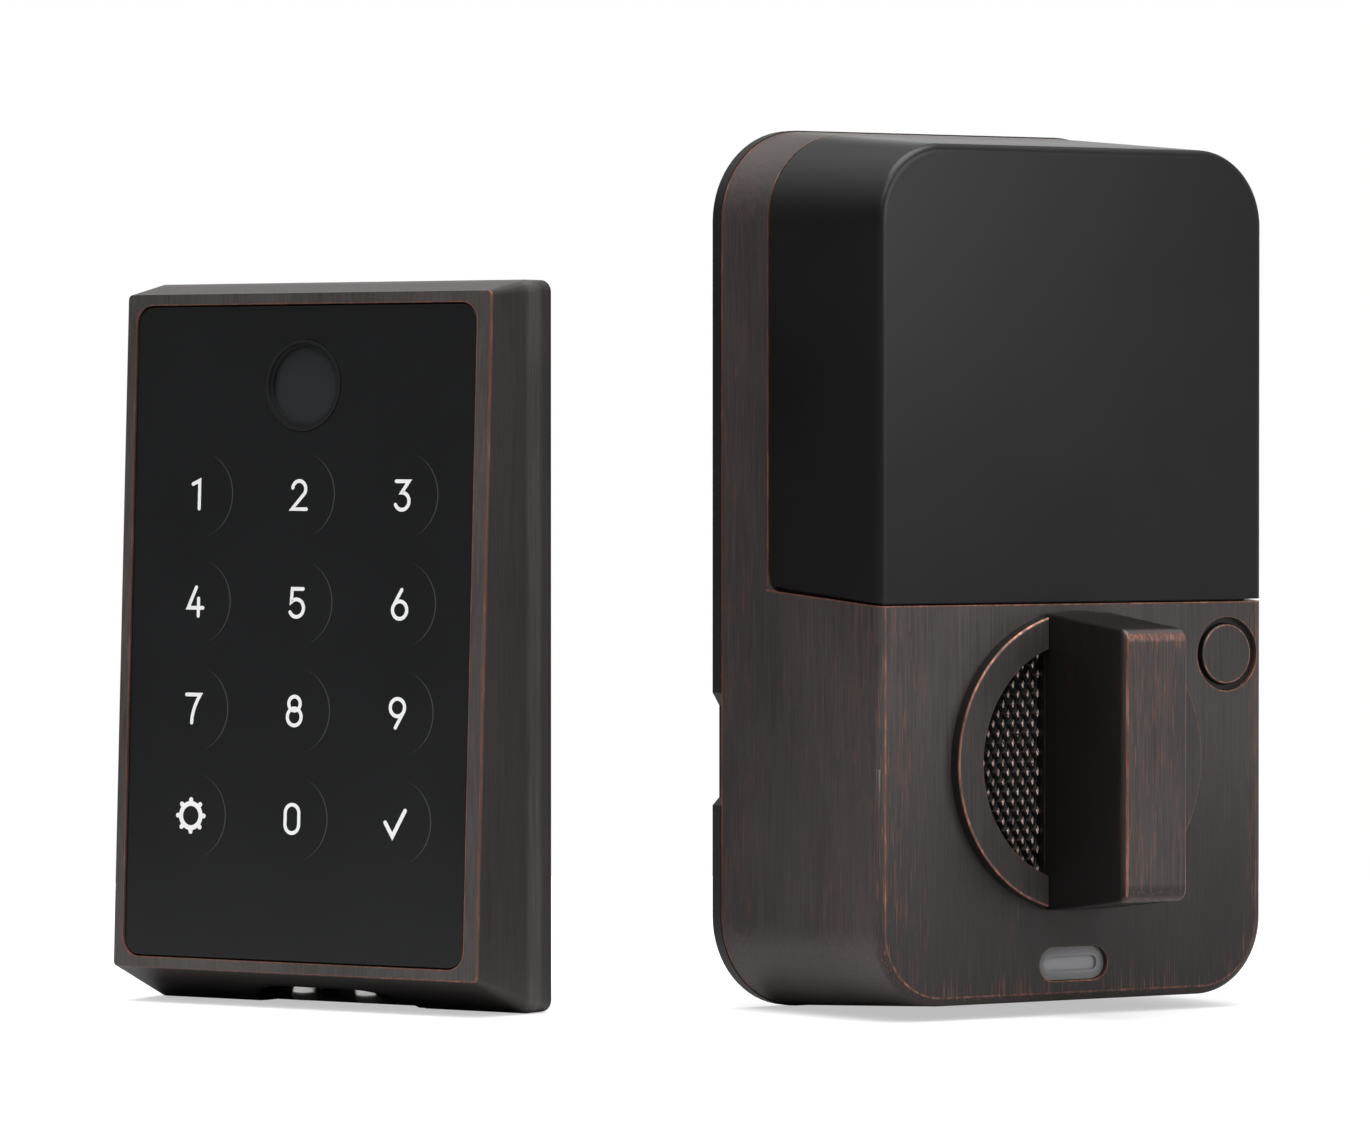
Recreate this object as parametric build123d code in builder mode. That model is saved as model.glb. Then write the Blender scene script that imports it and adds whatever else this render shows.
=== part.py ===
from build123d import *
from math import acos, atan2, cos, hypot, pi, radians, sin, tan
import os

# Keypad smart lock: an interior lock unit with battery bay, thumb-turn and
# motor drive, and a separate exterior keypad unit standing beside it.
# Origin: thumb-turn axis on the door-side plane of the interior unit.
# +X right, +Y into the door, +Z up.  All sizes in millimetres.

# ---------------------------------------------------------------- dimensions
axis_h = 40.8            # thumb-turn axis above the bottom of the body
depth = 43.4             # front plane to door plane
plate_t = 2.3            # mounting plate thickness
front_w, front_h, front_r = 75.8, 136.7, 12.2
front_zc = 70.75 - axis_h
rear_w, rear_h, rear_r = 81.6, 142.6, 15.0
rear_zc = 71.3 - axis_h
edge_r = 1.5             # rounded front edge
wall = 2.2
y_front = -depth
y_shell = -plate_t       # door-side rim of the housing
seam_front_z = 66.0 - axis_h
seam_rear_z = 68.1 - axis_h
seam_rear_y = y_front + 28.7
seam_r = 2.7

disc_r = 24.1
ring_w = 4.8
disc_proud = 2.25
disc_gap = 0.25
boss_r = 20.4
grip_proud = 22.5
grip_base = (13.0, 47.6)
grip_front = (11.7, 42.9)
knurl_t = 0.8
spindle_r = 4.5

button_x, button_z = 30.7, 16.7
button_hole_r, button_r = 6.0, 4.95
button_travel = 1.0

lens_z = 8.3 - axis_h
lens_w, lens_h = 13.4, 5.4

gear_m = 0.8
drive_teeth, idler_small, idler_large, pinion_teeth = 36, 12, 30, 12
idler_x, idler_z = -17.5, 7.9
motor_x, motor_z = -17.5 + 16.8 * cos(radians(25)), 7.9 + 16.8 * sin(radians(25))
motor_r = 7.0

posts = [(-31.0, 19.6), (20.0, 18.0), (19.0, -19.0), (-31.0, -16.0)]

bolt_x = 20.65           # half spacing of the through-bolts

kp_w, kp_h = 76.0, 118.0         # keypad rear outline
kp_fw, kp_fh = 72.4, 110.39      # keypad front outline, measured on its plane
kp_band = 4.5                    # straight band behind the bevel
kp_db, kp_dt = 18.7, 14.3        # depth at the bottom and top of the front
kp_zb = 5.8
glass_w, glass_h, glass_r = 67.4, 106.3, 2.8
glass_x = -0.45          # the right bezel is the wider one
sensor_down, sensor_x = 15.0, -0.6
sensor_r = 7.45
key_dx, key_x = 20.4, -0.9
key_rows = (32.8, 50.3, 67.8, 85.3)
kp_yaw = 66.0
kp_origin = (-82.5, 42.1, -axis_h)
snap_pitch = 12.7


def outline(y, inset=0.0):
    """Width, height, centre height and corner radius of the drafted body."""
    t = (y - y_front) / depth
    w = front_w + (rear_w - front_w) * t - 2 * inset
    h = front_h + (rear_h - front_h) * t - 2 * inset
    zc = front_zc + (rear_zc - front_zc) * t
    r = max(front_r + (rear_r - front_r) * t - inset, 0.6)
    return w, h, zc, r


def at_y(y):
    return Plane.XZ.offset(-y)


def tooth_points(z, m, phase, back=0.14, pa=radians(25), add=0.88, ded=1.22):
    rp, rb = z * m / 2, z * m / 2 * cos(pa)
    ra, rf = rp + add * m, rp - ded * m
    half = (pi * m / 2 - back / 2) / (2 * rp) + tan(pa) - pa
    start = max(rb, rf)
    radii = [start + (ra - start) * k / 4 for k in range(5)]
    flank = [(r, half - (tan(acos(min(1, rb / r))) - acos(min(1, rb / r)))) for r in radii]
    if rf < rb:
        flank = [(rf, flank[0][1])] + flank
    pts = []
    for k in range(z):
        c = phase + 2 * pi * k / z
        for r, a in flank:
            pts.append((r * cos(c - a), r * sin(c - a)))
        for r, a in reversed(flank):
            pts.append((r * cos(c + a), r * sin(c + a)))
    return pts


def mesh_phase(z_a, phase_a, z_b, beta):
    return beta + pi - (pi - z_a * (beta - phase_a)) / z_b


def write(piece, label):
    piece.part.label = label
    export_step(piece.part, "parts/" + label + ".step")


os.makedirs("parts", exist_ok=True)

# ------------------------------------------------- drafted body, whole
with BuildPart() as body_blank:
    for yy in (y_front, y_shell):
        w, h, zc, r = outline(yy)
        with BuildSketch(at_y(yy)):
            with Locations((0, zc)):
                RectangleRounded(w, h, r)
    loft(ruled=True)
    fillet(body_blank.faces().sort_by(Axis.Y)[0].edges(), edge_r)

with BuildPart() as body_core:
    for yy in (y_front + 2.4, 0.0):
        w, h, zc, r = outline(yy, wall)
        with BuildSketch(at_y(yy)):
            with Locations((0, zc)):
                RectangleRounded(w, h, r)
    loft(ruled=True)

with BuildPart() as cover_core:
    for yy in (y_front + 1.9, 0.0):
        w, h, zc, r = outline(yy, 1.9)
        with BuildSketch(at_y(yy)):
            with Locations((0, zc)):
                RectangleRounded(w, h, r)
    loft(ruled=True)

# side profile of the region taken by the battery cover, seen along X
with BuildPart() as cover_space:
    with BuildSketch(Plane.YZ.offset(-60)):
        with BuildLine():
            slope = (seam_rear_z - seam_front_z) / 28.7
            FilletPolyline(
                (-60, 120), (-60, seam_front_z - slope * (60 - depth)),
                (seam_rear_y, seam_rear_z), (seam_rear_y, 120),
                radius=seam_r, close=False,
            )
            Line((seam_rear_y, 120), (-60, 120))
        make_face()
    extrude(amount=120)

with BuildPart() as cover_trim:
    with BuildSketch(Plane.YZ.offset(-60)):
        with BuildLine():
            FilletPolyline(
                (-60, 120), (-60, seam_front_z + 0.4 - 0.086 * (60 - depth)),
                (seam_rear_y - 0.35, seam_rear_z + 0.75), (seam_rear_y - 0.35, 120),
                radius=seam_r - 0.3, close=False,
            )
            Line((seam_rear_y - 0.35, 120), (-60, 120))
        make_face()
    extrude(amount=120)

# ------------------------------------------------- interior housing
with BuildPart() as lower_space:
    add(body_core.part)
    with BuildSketch(Plane.XY.offset(23.2)):
        with Locations((0, -20)):
            Rectangle(120, 80)
    extrude(amount=120, mode=Mode.SUBTRACT)

with BuildPart() as rear_space:
    add(body_core.part)
    with BuildSketch(at_y(seam_rear_y + 1.6)):
        Rectangle(200, 300)
    extrude(amount=60, mode=Mode.SUBTRACT)

# low wall that stands inside the cover all round the seam and closes it to light
with BuildPart() as lip_inner:
    for yy in (y_front + 3.4, 0.0):
        w, h, zc, r = outline(yy, 3.3)
        with BuildSketch(at_y(yy)):
            with Locations((0, zc)):
                RectangleRounded(w, h, r)
    loft(ruled=True)

with BuildPart() as seam_lip:
    for yy in (y_front + 2.25, seam_rear_y - 0.9):
        w, h, zc, r = outline(yy, 2.25)
        with BuildSketch(at_y(yy)):
            with Locations((0, zc)):
                RectangleRounded(w, h, r)
    loft(ruled=True)
    add(lip_inner.part, mode=Mode.SUBTRACT)
    with BuildSketch(Plane.XY.offset(28.8)):
        Rectangle(300, 300)
    extrude(amount=120, mode=Mode.SUBTRACT)
    with BuildSketch(Plane.XY.offset(24.6)):
        Rectangle(300, 300)
    extrude(amount=-120, mode=Mode.SUBTRACT)

with BuildPart() as interior_housing:
    add(body_blank.part)
    add(cover_space.part, mode=Mode.SUBTRACT)
    add(lower_space.part, mode=Mode.SUBTRACT)
    add(rear_space.part, mode=Mode.SUBTRACT)
    add(seam_lip.part)
    # thumb-turn, button and lens openings in the front wall
    with BuildSketch(at_y(y_front)):
        Circle(boss_r + 0.4)
        with Locations((button_x, button_z)):
            Circle(button_hole_r)
        with Locations((0, lens_z)):
            SlotOverall(lens_w, lens_h)
    extrude(amount=-6, both=True, mode=Mode.SUBTRACT)
    # bosses that carry the gearbox
    with BuildSketch(at_y(y_front + 2.2)):
        with Locations(*posts):
            Circle(3.0)
    extrude(amount=-(depth - 2.2 - 22.5))
    with BuildSketch(at_y(-22.5)):
        with Locations(*posts):
            Circle(1.25)
    extrude(amount=7, mode=Mode.SUBTRACT)
    # screw holes and cable window in the wall behind the battery bay
    with BuildSketch(at_y(seam_rear_y - 1)):
        with Locations((-29.5, 86.0), (29.5, 86.0)):
            Circle(1.8)
        with Locations((0, 36.0)):
            RectangleRounded(20, 9, 1.5)
    extrude(amount=-4, mode=Mode.SUBTRACT)
    # ledge pockets that take the hooks of the mounting plate
    with BuildSketch(at_y(y_shell)):
        with Locations((-18, outline(y_shell)[2] - outline(y_shell)[1] / 2 + wall + 0.2),
                       (18, outline(y_shell)[2] - outline(y_shell)[1] / 2 + wall + 0.2)):
            Rectangle(8.4, 1.4)
    extrude(amount=5, mode=Mode.SUBTRACT)
write(interior_housing, "interior_housing")

# ------------------------------------------------- battery cover
with BuildPart() as battery_cover:
    add(body_blank.part)
    add(cover_trim.part, mode=Mode.INTERSECT)
    add(cover_core.part, mode=Mode.SUBTRACT)
write(battery_cover, "battery_cover")

# ------------------------------------------------- mounting plate
with BuildPart() as mounting_plate:
    with BuildSketch(Plane.XZ):
        with Locations((0, rear_zc)):
            RectangleRounded(rear_w, rear_h, rear_r)
        for s in (-1, 1):
            with BuildLine():
                Polyline((s * 41.5, -7.8), (s * 40.8, -7.8), (s * 39.5, -6.5),
                         (s * 39.5, 8.4), (s * 40.8, 10.5), (s * 41.5, 10.5), close=True)
            make_face(mode=Mode.SUBTRACT)
        Circle(11.0, mode=Mode.SUBTRACT)
        with Locations((-bolt_x, 0), (bolt_x, 0)):
            Circle(2.75, mode=Mode.SUBTRACT)
        with Locations((0, 27.0)):
            RectangleRounded(24.0, 12.0, 2.0, mode=Mode.SUBTRACT)
        with Locations((-29.5, 86.0), (29.5, 86.0)):
            Circle(1.25, mode=Mode.SUBTRACT)
    extrude(amount=plate_t)
    # raised bosses for the two housing screws and hooks at the bottom
    with BuildSketch(at_y(-plate_t)):
        with Locations((-29.5, 86.0), (29.5, 86.0)):
            Circle(3.2)
            Circle(1.25, mode=Mode.SUBTRACT)
    extrude(amount=10.7)
    zb = outline(y_shell)[2] - outline(y_shell)[1] / 2 + wall + 0.2
    with BuildSketch(at_y(-plate_t)):
        with Locations((-18, zb), (18, zb)):
            Rectangle(8.0, 1.1)
    extrude(amount=4.5)
write(mounting_plate, "mounting_plate")

# ------------------------------------------------- housing screws
with BuildPart() as housing_screws:
    with BuildSketch(at_y(seam_rear_y)):
        with Locations((-29.5, 86.0), (29.5, 86.0)):
            Circle(2.9)
    extrude(amount=1.9)
    with BuildSketch(at_y(seam_rear_y)):
        with Locations((-29.5, 86.0), (29.5, 86.0)):
            Circle(1.2)
    extrude(amount=-13.5)
    with BuildSketch(at_y(seam_rear_y - 1.9)):
        with Locations((-29.5, 86.0), (29.5, 86.0)):
            Rectangle(3.4, 0.7)
            Rectangle(0.7, 3.4)
    extrude(amount=-0.9, mode=Mode.SUBTRACT)
write(housing_screws, "housing_screws")

# ------------------------------------------------- thumb-turn
y_ring = y_front - disc_proud
y_web = -39.6
y_floor = -42.25
with BuildPart() as thumbturn_disc:
    with BuildSketch(at_y(y_front - disc_gap)):
        Circle(disc_r)
    extrude(amount=disc_proud - disc_gap)
    fillet(thumbturn_disc.faces().sort_by(Axis.Y)[0].edges(), 0.45)
    with BuildSketch(at_y(y_web)):
        Circle(boss_r)
    extrude(amount=-(y_front - disc_gap - y_web))
    with BuildSketch(at_y(y_floor)):
        Circle(disc_r - ring_w)
    extrude(amount=10, mode=Mode.SUBTRACT)
    # seat for the grip across the ring
    with BuildSketch(at_y(-44.3)):
        Rectangle(grip_base[0] + 0.1, 60)
    extrude(amount=10, mode=Mode.SUBTRACT)
    with BuildSketch(at_y(y_web)):
        with Locations((0, 12), (0, -12)):
            Circle(1.6)
        Circle(4.0)
    extrude(amount=6, mode=Mode.SUBTRACT)
write(thumbturn_disc, "thumbturn_disc")

with BuildPart() as thumbturn_grip:
    with BuildSketch(at_y(-44.3)):
        Rectangle(*grip_base)
    with BuildSketch(at_y(y_front - grip_proud)):
        Rectangle(*grip_front)
    loft(ruled=True)
    front_edges = thumbturn_grip.faces().sort_by(Axis.Y)[0].edges()
    fillet(front_edges.filter_by(Axis.X), 2.2)
    side_edges = thumbturn_grip.edges().filter_by(lambda e: e.center().Y < -44.4)
    fillet(side_edges.filter_by(lambda e: abs(e.center().X) > 5.0), 0.6)
    with BuildSketch(at_y(-44.31)):
        Rectangle(grip_base[0] - 0.1, 2 * (disc_r - ring_w) - 2.6)
    extrude(amount=-(44.31 + y_floor))
    with BuildSketch(at_y(y_floor)):
        Circle(3.95)
    extrude(amount=-1.9)
    with BuildSketch(at_y(y_floor)):
        with Locations((0, 12), (0, -12)):
            Circle(1.25)
    extrude(amount=8, mode=Mode.SUBTRACT)
write(thumbturn_grip, "thumbturn_grip")

with BuildPart() as knurled_insert:
    with BuildSketch(at_y(y_floor - 0.02)):
        Circle(disc_r - ring_w - 0.05)
        Rectangle(grip_base[0] + 0.1, 60, mode=Mode.SUBTRACT)
    extrude(amount=knurl_t)
write(knurled_insert, "knurled_insert")

with BuildPart() as thumbturn_screws:
    with BuildSketch(at_y(y_web + 0.02)):
        with Locations((0, 12), (0, -12)):
            Circle(2.3)
    extrude(amount=-1.3)
    with BuildSketch(at_y(y_web + 0.02)):
        with Locations((0, 12), (0, -12)):
            Circle(1.2)
    extrude(amount=8.5)
write(thumbturn_screws, "thumbturn_screws")

with BuildPart() as spindle:
    with BuildSketch(at_y(y_web + 0.02)):
        Circle(7.0)
    extrude(amount=-1.5)
    with BuildSketch(at_y(y_web + 0.02)):
        Circle(3.9)
    extrude(amount=0.7)
    with BuildSketch(at_y(y_web + 0.5)):
        Circle(spindle_r)
    extrude(amount=-(39.1 - 6.0))
    with BuildSketch(at_y(-6.0)):
        Circle(7.0)
    extrude(amount=-5.6)
    # slot that takes the flat tailpiece of the bolt
    with BuildSketch(at_y(-0.4)):
        Rectangle(2.7, 7.0)
    extrude(amount=14, mode=Mode.SUBTRACT)
    with BuildSketch(Plane.XY.offset(-20)):
        with Locations((0, -17.6)):
            Circle(1.02)
    extrude(amount=40, mode=Mode.SUBTRACT)
write(spindle, "spindle")

beta = atan2(idler_z, idler_x)
idler_phase = mesh_phase(drive_teeth, 0.0, idler_small, beta)
with BuildPart() as drive_gear:
    with BuildSketch(at_y(-10.0)):
        with BuildLine():
            Polyline(*tooth_points(drive_teeth, gear_m, 0.0), close=True)
        make_face()
    extrude(amount=5.0)
    with BuildSketch(at_y(-15.0)):
        Circle(6.0)
    extrude(amount=5.0)
    with BuildSketch(at_y(-9.5)):
        Circle(spindle_r + 0.02)
    extrude(amount=12, mode=Mode.SUBTRACT)
    with BuildSketch(at_y(-9.5)):
        with PolarLocations(11.0, 6):
            Circle(1.9)
    extrude(amount=6, mode=Mode.SUBTRACT)
    with BuildSketch(Plane.XY.offset(-20)):
        with Locations((0, -17.6)):
            Circle(1.02)
    extrude(amount=40, mode=Mode.SUBTRACT)
write(drive_gear, "drive_gear")

with BuildPart() as drive_pin:
    with BuildSketch(Plane.XY.offset(-5.8)):
        with Locations((0, -17.6)):
            Circle(1.0)
    extrude(amount=11.6)
write(drive_pin, "drive_pin")

with BuildPart() as reduction_gear:
    with BuildSketch(at_y(-9.8)):
        with BuildLine():
            Polyline(*[(idler_x + x, idler_z + z) for x, z in
                       tooth_points(idler_small, gear_m, idler_phase)], close=True)
        make_face()
    extrude(amount=6.3)
    with BuildSketch(at_y(-16.0)):
        with BuildLine():
            Polyline(*[(idler_x + x, idler_z + z) for x, z in
                       tooth_points(idler_large, gear_m, 0.0)], close=True)
        make_face()
    extrude(amount=3.6)
    with BuildSketch(at_y(-9.0)):
        with Locations((idler_x, idler_z)):
            Circle(1.55)
    extrude(amount=15, mode=Mode.SUBTRACT)
write(reduction_gear, "reduction_gear")

beta2 = radians(25)
pinion_phase = mesh_phase(idler_large, 0.0, pinion_teeth, beta2)
with BuildPart() as motor_pinion:
    with BuildSketch(at_y(-15.7)):
        with BuildLine():
            Polyline(*[(motor_x + x, motor_z + z) for x, z in
                       tooth_points(pinion_teeth, gear_m, pinion_phase)], close=True)
        make_face()
    extrude(amount=4.3)
    with BuildSketch(at_y(-15.7)):
        with Locations((motor_x, motor_z)):
            Circle(1.0)
    extrude(amount=20)
write(motor_pinion, "motor_pinion")

with BuildPart() as motor:
    with BuildSketch(at_y(-22.55)):
        with Locations((motor_x, motor_z)):
            Circle(motor_r)
    extrude(amount=14.4)
    fillet(motor.edges().filter_by(GeomType.CIRCLE), 0.8)
    with BuildSketch(at_y(-22.55)):
        with Locations((motor_x, motor_z)):
            Circle(2.8)
    extrude(amount=-1.3)
    with BuildSketch(at_y(-36.95)):
        with Locations((motor_x - 4.2, motor_z), (motor_x + 4.2, motor_z)):
            Rectangle(1.6, 2.4)
    extrude(amount=-0.6)
    with BuildSketch(at_y(-21.0)):
        with Locations((motor_x, motor_z)):
            Circle(1.06)
    extrude(amount=15.4, mode=Mode.SUBTRACT)
write(motor, "motor")

with BuildPart() as idler_axle:
    with BuildSketch(at_y(-6.9)):
        with Locations((idler_x, idler_z)):
            Circle(1.5)
    extrude(amount=15.9)
write(idler_axle, "idler_axle")


plate_pts = [(-34.6, -20), (-34.6, 22.9), (23.4, 22.9), (23.4, -22.6), (12.0, -22.6), (-18.0, -20.0)]


with BuildPart() as gearbox_plate:
    with BuildSketch(at_y(-21.0)):
        with BuildLine():
            FilletPolyline(*plate_pts, radius=2.0, close=True)
        make_face()
        with Locations(*posts):
            Circle(1.35, mode=Mode.SUBTRACT)
        Circle(6.0, mode=Mode.SUBTRACT)
        with Locations((idler_x, idler_z)):
            Circle(1.5, mode=Mode.SUBTRACT)
        with Locations((motor_x, motor_z)):
            Circle(2.85, mode=Mode.SUBTRACT)
    extrude(amount=1.5)
write(gearbox_plate, "gearbox_plate")

with BuildPart() as gearbox_cover:
    with BuildSketch(at_y(-7.1)):
        with BuildLine():
            FilletPolyline(*plate_pts, radius=2.0, close=True)
        make_face()
        with Locations(*posts):
            Circle(1.35, mode=Mode.SUBTRACT)
        Circle(6.0, mode=Mode.SUBTRACT)
        with Locations((idler_x, idler_z)):
            Circle(1.5, mode=Mode.SUBTRACT)
    extrude(amount=1.5)
write(gearbox_cover, "gearbox_cover")

with BuildPart() as gearbox_spacers:
    with BuildSketch(at_y(-8.6)):
        with Locations(*posts):
            Circle(2.6)
            Circle(1.35, mode=Mode.SUBTRACT)
    extrude(amount=12.4)
write(gearbox_spacers, "gearbox_spacers")

with BuildPart() as gearbox_screws:
    with BuildSketch(at_y(-5.5)):
        with Locations(*posts):
            Circle(2.4)
            RegularPolygon(1.1, 6, mode=Mode.SUBTRACT)
    extrude(amount=0.9)
    with BuildSketch(at_y(-6.4)):
        with Locations(*posts):
            Circle(2.4)
    extrude(amount=0.7)
    with BuildSketch(at_y(-7.0)):
        with Locations(*posts):
            Circle(1.2)
    extrude(amount=21.5)
write(gearbox_screws, "gearbox_screws")

with BuildPart() as spindle_bushings:
    for yb in (-20.4, -6.4):
        with BuildSketch(at_y(yb)):
            Circle(5.98)
            Circle(spindle_r + 0.05, mode=Mode.SUBTRACT)
        extrude(amount=2.25)
    for yb in (-22.5, -8.6):
        with BuildSketch(at_y(yb)):
            Circle(7.2)
            Circle(spindle_r + 0.05, mode=Mode.SUBTRACT)
        extrude(amount=0.7)
write(spindle_bushings, "spindle_bushings")

# ------------------------------------------------- button, spring and switch
with BuildPart() as button_sleeve:
    with BuildSketch(at_y(-41.0)):
        with Locations((button_x, button_z)):
            Circle(button_hole_r - 0.02)
            Circle(button_r + 0.09, mode=Mode.SUBTRACT)
    extrude(amount=1.3)
write(button_sleeve, "button_sleeve")

with BuildPart() as privacy_button:
    with BuildSketch(at_y(-40.8)):
        with Locations((button_x, button_z)):
            Circle(button_r)
    extrude(amount=2.55)
    fillet(privacy_button.faces().sort_by(Axis.Y)[0].edges(), 0.4)
    with BuildSketch(at_y(-39.8)):
        with Locations((button_x - 1.2, button_z)):
            RectangleRounded(10.0, 9.0, 1.0)
    extrude(amount=1.05)
    with BuildSketch(at_y(-39.3)):
        with Locations((button_x, button_z)):
            Circle(1.6)
    extrude(amount=0.6)
write(privacy_button, "privacy_button")

with BuildPart() as button_spring:
    with BuildSketch(at_y(-37.25)):
        with Locations((button_x, button_z)):
            Circle(3.4)
            Circle(2.8, mode=Mode.SUBTRACT)
    extrude(amount=2.5)
write(button_spring, "button_spring")

with BuildPart() as tact_switch:
    with BuildSketch(at_y(-37.2)):
        with Locations((button_x, button_z)):
            RectangleRounded(3.4, 3.4, 0.4)
    extrude(amount=0.6)
    with BuildSketch(at_y(-37.8)):
        with Locations((button_x, button_z)):
            Circle(1.1)
    extrude(amount=0.35)
write(tact_switch, "tact_switch")

with BuildPart() as switch_circuit_board:
    with BuildSketch(at_y(-35.6)):
        with Locations((0, -6.9)):
            RectangleRounded(68.0, 57.0, 10.0)
        with Locations((27.0, 14.6)):
            RectangleRounded(14.0, 14.0, 1.5)
        with Locations((motor_x, 18.0)):
            Rectangle(17.0, 22.0, mode=Mode.SUBTRACT)
        Circle(7.6, mode=Mode.SUBTRACT)
        with Locations(*posts):
            Circle(3.3, mode=Mode.SUBTRACT)
    extrude(amount=1.6)
write(switch_circuit_board, "switch_circuit_board")

# ------------------------------------------------- status lens and its lamps
with BuildPart() as status_lens:
    with BuildSketch(at_y(-38.9)):
        with Locations((0, lens_z)):
            SlotOverall(lens_w - 0.15, lens_h - 0.15)
    extrude(amount=3.6)
    with BuildSketch(at_y(-42.6)):
        with Locations((0, lens_z)):
            SlotOverall(lens_w - 3.0, lens_h - 3.0)
    extrude(amount=-0.6, mode=Mode.SUBTRACT)
    with BuildSketch(at_y(-38.9)):
        with Locations((0, lens_z)):
            SlotOverall(lens_w + 2.4, lens_h + 1.4)
    extrude(amount=2.0)
write(status_lens, "status_lens")

with BuildPart() as status_leds:
    with BuildSketch(at_y(-37.2)):
        with Locations((-3.2, lens_z), (3.2, lens_z)):
            Rectangle(2.0, 1.3)
    extrude(amount=0.9)
write(status_leds, "status_leds")

# ------------------------------------------------- battery tray, cells, contacts
tray_zc, tray_h = 62.5, 64.0
cells = [-22.8, -7.6, 7.6, 22.8]
with BuildPart() as battery_tray:
    with BuildSketch(at_y(seam_rear_y - 0.05)):
        with Locations((0, tray_zc)):
            RectangleRounded(68.6, tray_h, 7.5)
    extrude(amount=24.6)
    with BuildSketch(at_y(-22.4)):
        with Locations((0, tray_zc)):
            RectangleRounded(65.4, tray_h - 3.2, 4.0)
    extrude(amount=30, mode=Mode.SUBTRACT)
    with BuildSketch(at_y(-20.8)):
        with Locations((0, tray_zc)):
            RectangleRounded(65.4, tray_h - 3.2, 6.0)
    extrude(amount=-10, mode=Mode.SUBTRACT)
    # low ribs that part the cells
    with BuildSketch(at_y(-22.35)):
        with Locations((-15.2, tray_zc), (0, tray_zc), (15.2, tray_zc)):
            Rectangle(0.9, 46)
    extrude(amount=4.6)
    with BuildSketch(at_y(-22.5)):
        with Locations((-29.5, 86.0), (29.5, 86.0)):
            Circle(3.3)
    extrude(amount=-9, mode=Mode.SUBTRACT)
write(battery_tray, "battery_tray")

with BuildPart() as aa_cells:
    for k, cx in enumerate(cells):
        zlo = 37.25
        with BuildSketch(Plane.XY.offset(zlo)):
            with Locations((cx, -30.1)):
                Circle(7.2)
        extrude(amount=49.2)
        with BuildSketch(Plane.XY.offset(zlo + 49.2 if k % 2 else zlo)):
            with Locations((cx, -30.1)):
                Circle(2.7)
        extrude(amount=1.2 if k % 2 else -1.2)
write(aa_cells, "aa_cells")

with BuildPart() as battery_contacts:
    for k, cx in enumerate(cells):
        spring_top = k % 2 == 0
        for top in (True, False):
            zz = 92.7 if top else 32.2
            s = -1 if top else 1
            with BuildSketch(Plane.XY.offset(zz)):
                with Locations((cx, -30.1)):
                    Rectangle(12.6, 11.0)
            extrude(amount=s * 0.5)
            if top == spring_top:
                with BuildSketch(Plane.XY.offset(zz + s * 0.45)):
                    with Locations((cx, -30.1)):
                        Circle(4.6)
                with BuildSketch(Plane.XY.offset(86.5 if top else 37.2)):
                    with Locations((cx, -30.1)):
                        Circle(2.6)
                loft(ruled=True)
            else:
                with BuildSketch(Plane.XY.offset(zz + s * 0.45)):
                    with Locations((cx, -30.1)):
                        Circle(3.4)
                extrude(amount=(92.25 - 87.7) * -1 if top else (36.0 - 32.65))
write(battery_contacts, "battery_contacts")

with BuildPart() as main_circuit_board:
    with BuildSketch(at_y(-17.0)):
        with Locations((0, tray_zc)):
            RectangleRounded(63.0, tray_h - 5.6, 4.5)
        with Locations((-29.5, 86.0), (29.5, 86.0)):
            Circle(3.9, mode=Mode.SUBTRACT)
    extrude(amount=1.6)
write(main_circuit_board, "main_circuit_board")

with BuildPart() as board_components:
    with BuildSketch(at_y(-18.62)):
        with Locations((-14, 66)):
            Rectangle(11, 11)
        with Locations((9, 72)):
            Rectangle(8, 6)
        with Locations((12, 54)):
            Rectangle(14, 10)
    extrude(amount=1.4)
    with BuildSketch(at_y(-18.62)):
        with Locations((-20, 48), (-12, 48)):
            Circle(2.6)
    extrude(amount=1.9)
write(board_components, "board_components")

with BuildPart() as cable_socket_interior:
    with BuildSketch(at_y(-16.98)):
        with Locations((0, 37.0)):
            Rectangle(14.0, 6.0)
    extrude(amount=-6.0)
    with BuildSketch(at_y(-10.9)):
        with Locations((0, 37.0)):
            Rectangle(12.2, 4.2)
    extrude(amount=4.6, mode=Mode.SUBTRACT)
write(cable_socket_interior, "cable_socket_interior")

# ================================================= exterior keypad unit
ca, sa = cos(radians(kp_yaw)), sin(radians(kp_yaw))
right = Vector(ca, -sa, 0)
outward = Vector(-sa, -ca, 0)
kp_back = Plane(origin=kp_origin, x_dir=right, z_dir=outward)
lean = atan2(kp_db - kp_dt, 116.1 - kp_zb)
front_up = Vector(0, 0, 1) * cos(lean) - outward * sin(lean)
front_n = right.cross(front_up)
front_o = Vector(*kp_origin) + outward * kp_db + Vector(0, 0, 1) * kp_zb
kp_front = Plane(origin=front_o, x_dir=right, z_dir=front_n)
fc = kp_fh / 2                  # middle of the front, along its slope


def glass_at(h):
    """Plane h behind the front face."""
    return kp_front.offset(-h)


with BuildPart() as keypad_blank:
    with BuildSketch(kp_back):
        with Locations((0, kp_h / 2)):
            RectangleRounded(kp_w, kp_h, 2.0)
    extrude(amount=kp_band)
    with BuildSketch(kp_back.offset(kp_band)):
        with Locations((0, kp_h / 2)):
            RectangleRounded(kp_w, kp_h, 2.0)
    with BuildSketch(kp_front):
        with Locations((0, fc)):
            RectangleRounded(kp_fw, kp_fh, 0.8)
    loft(ruled=True)

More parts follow.
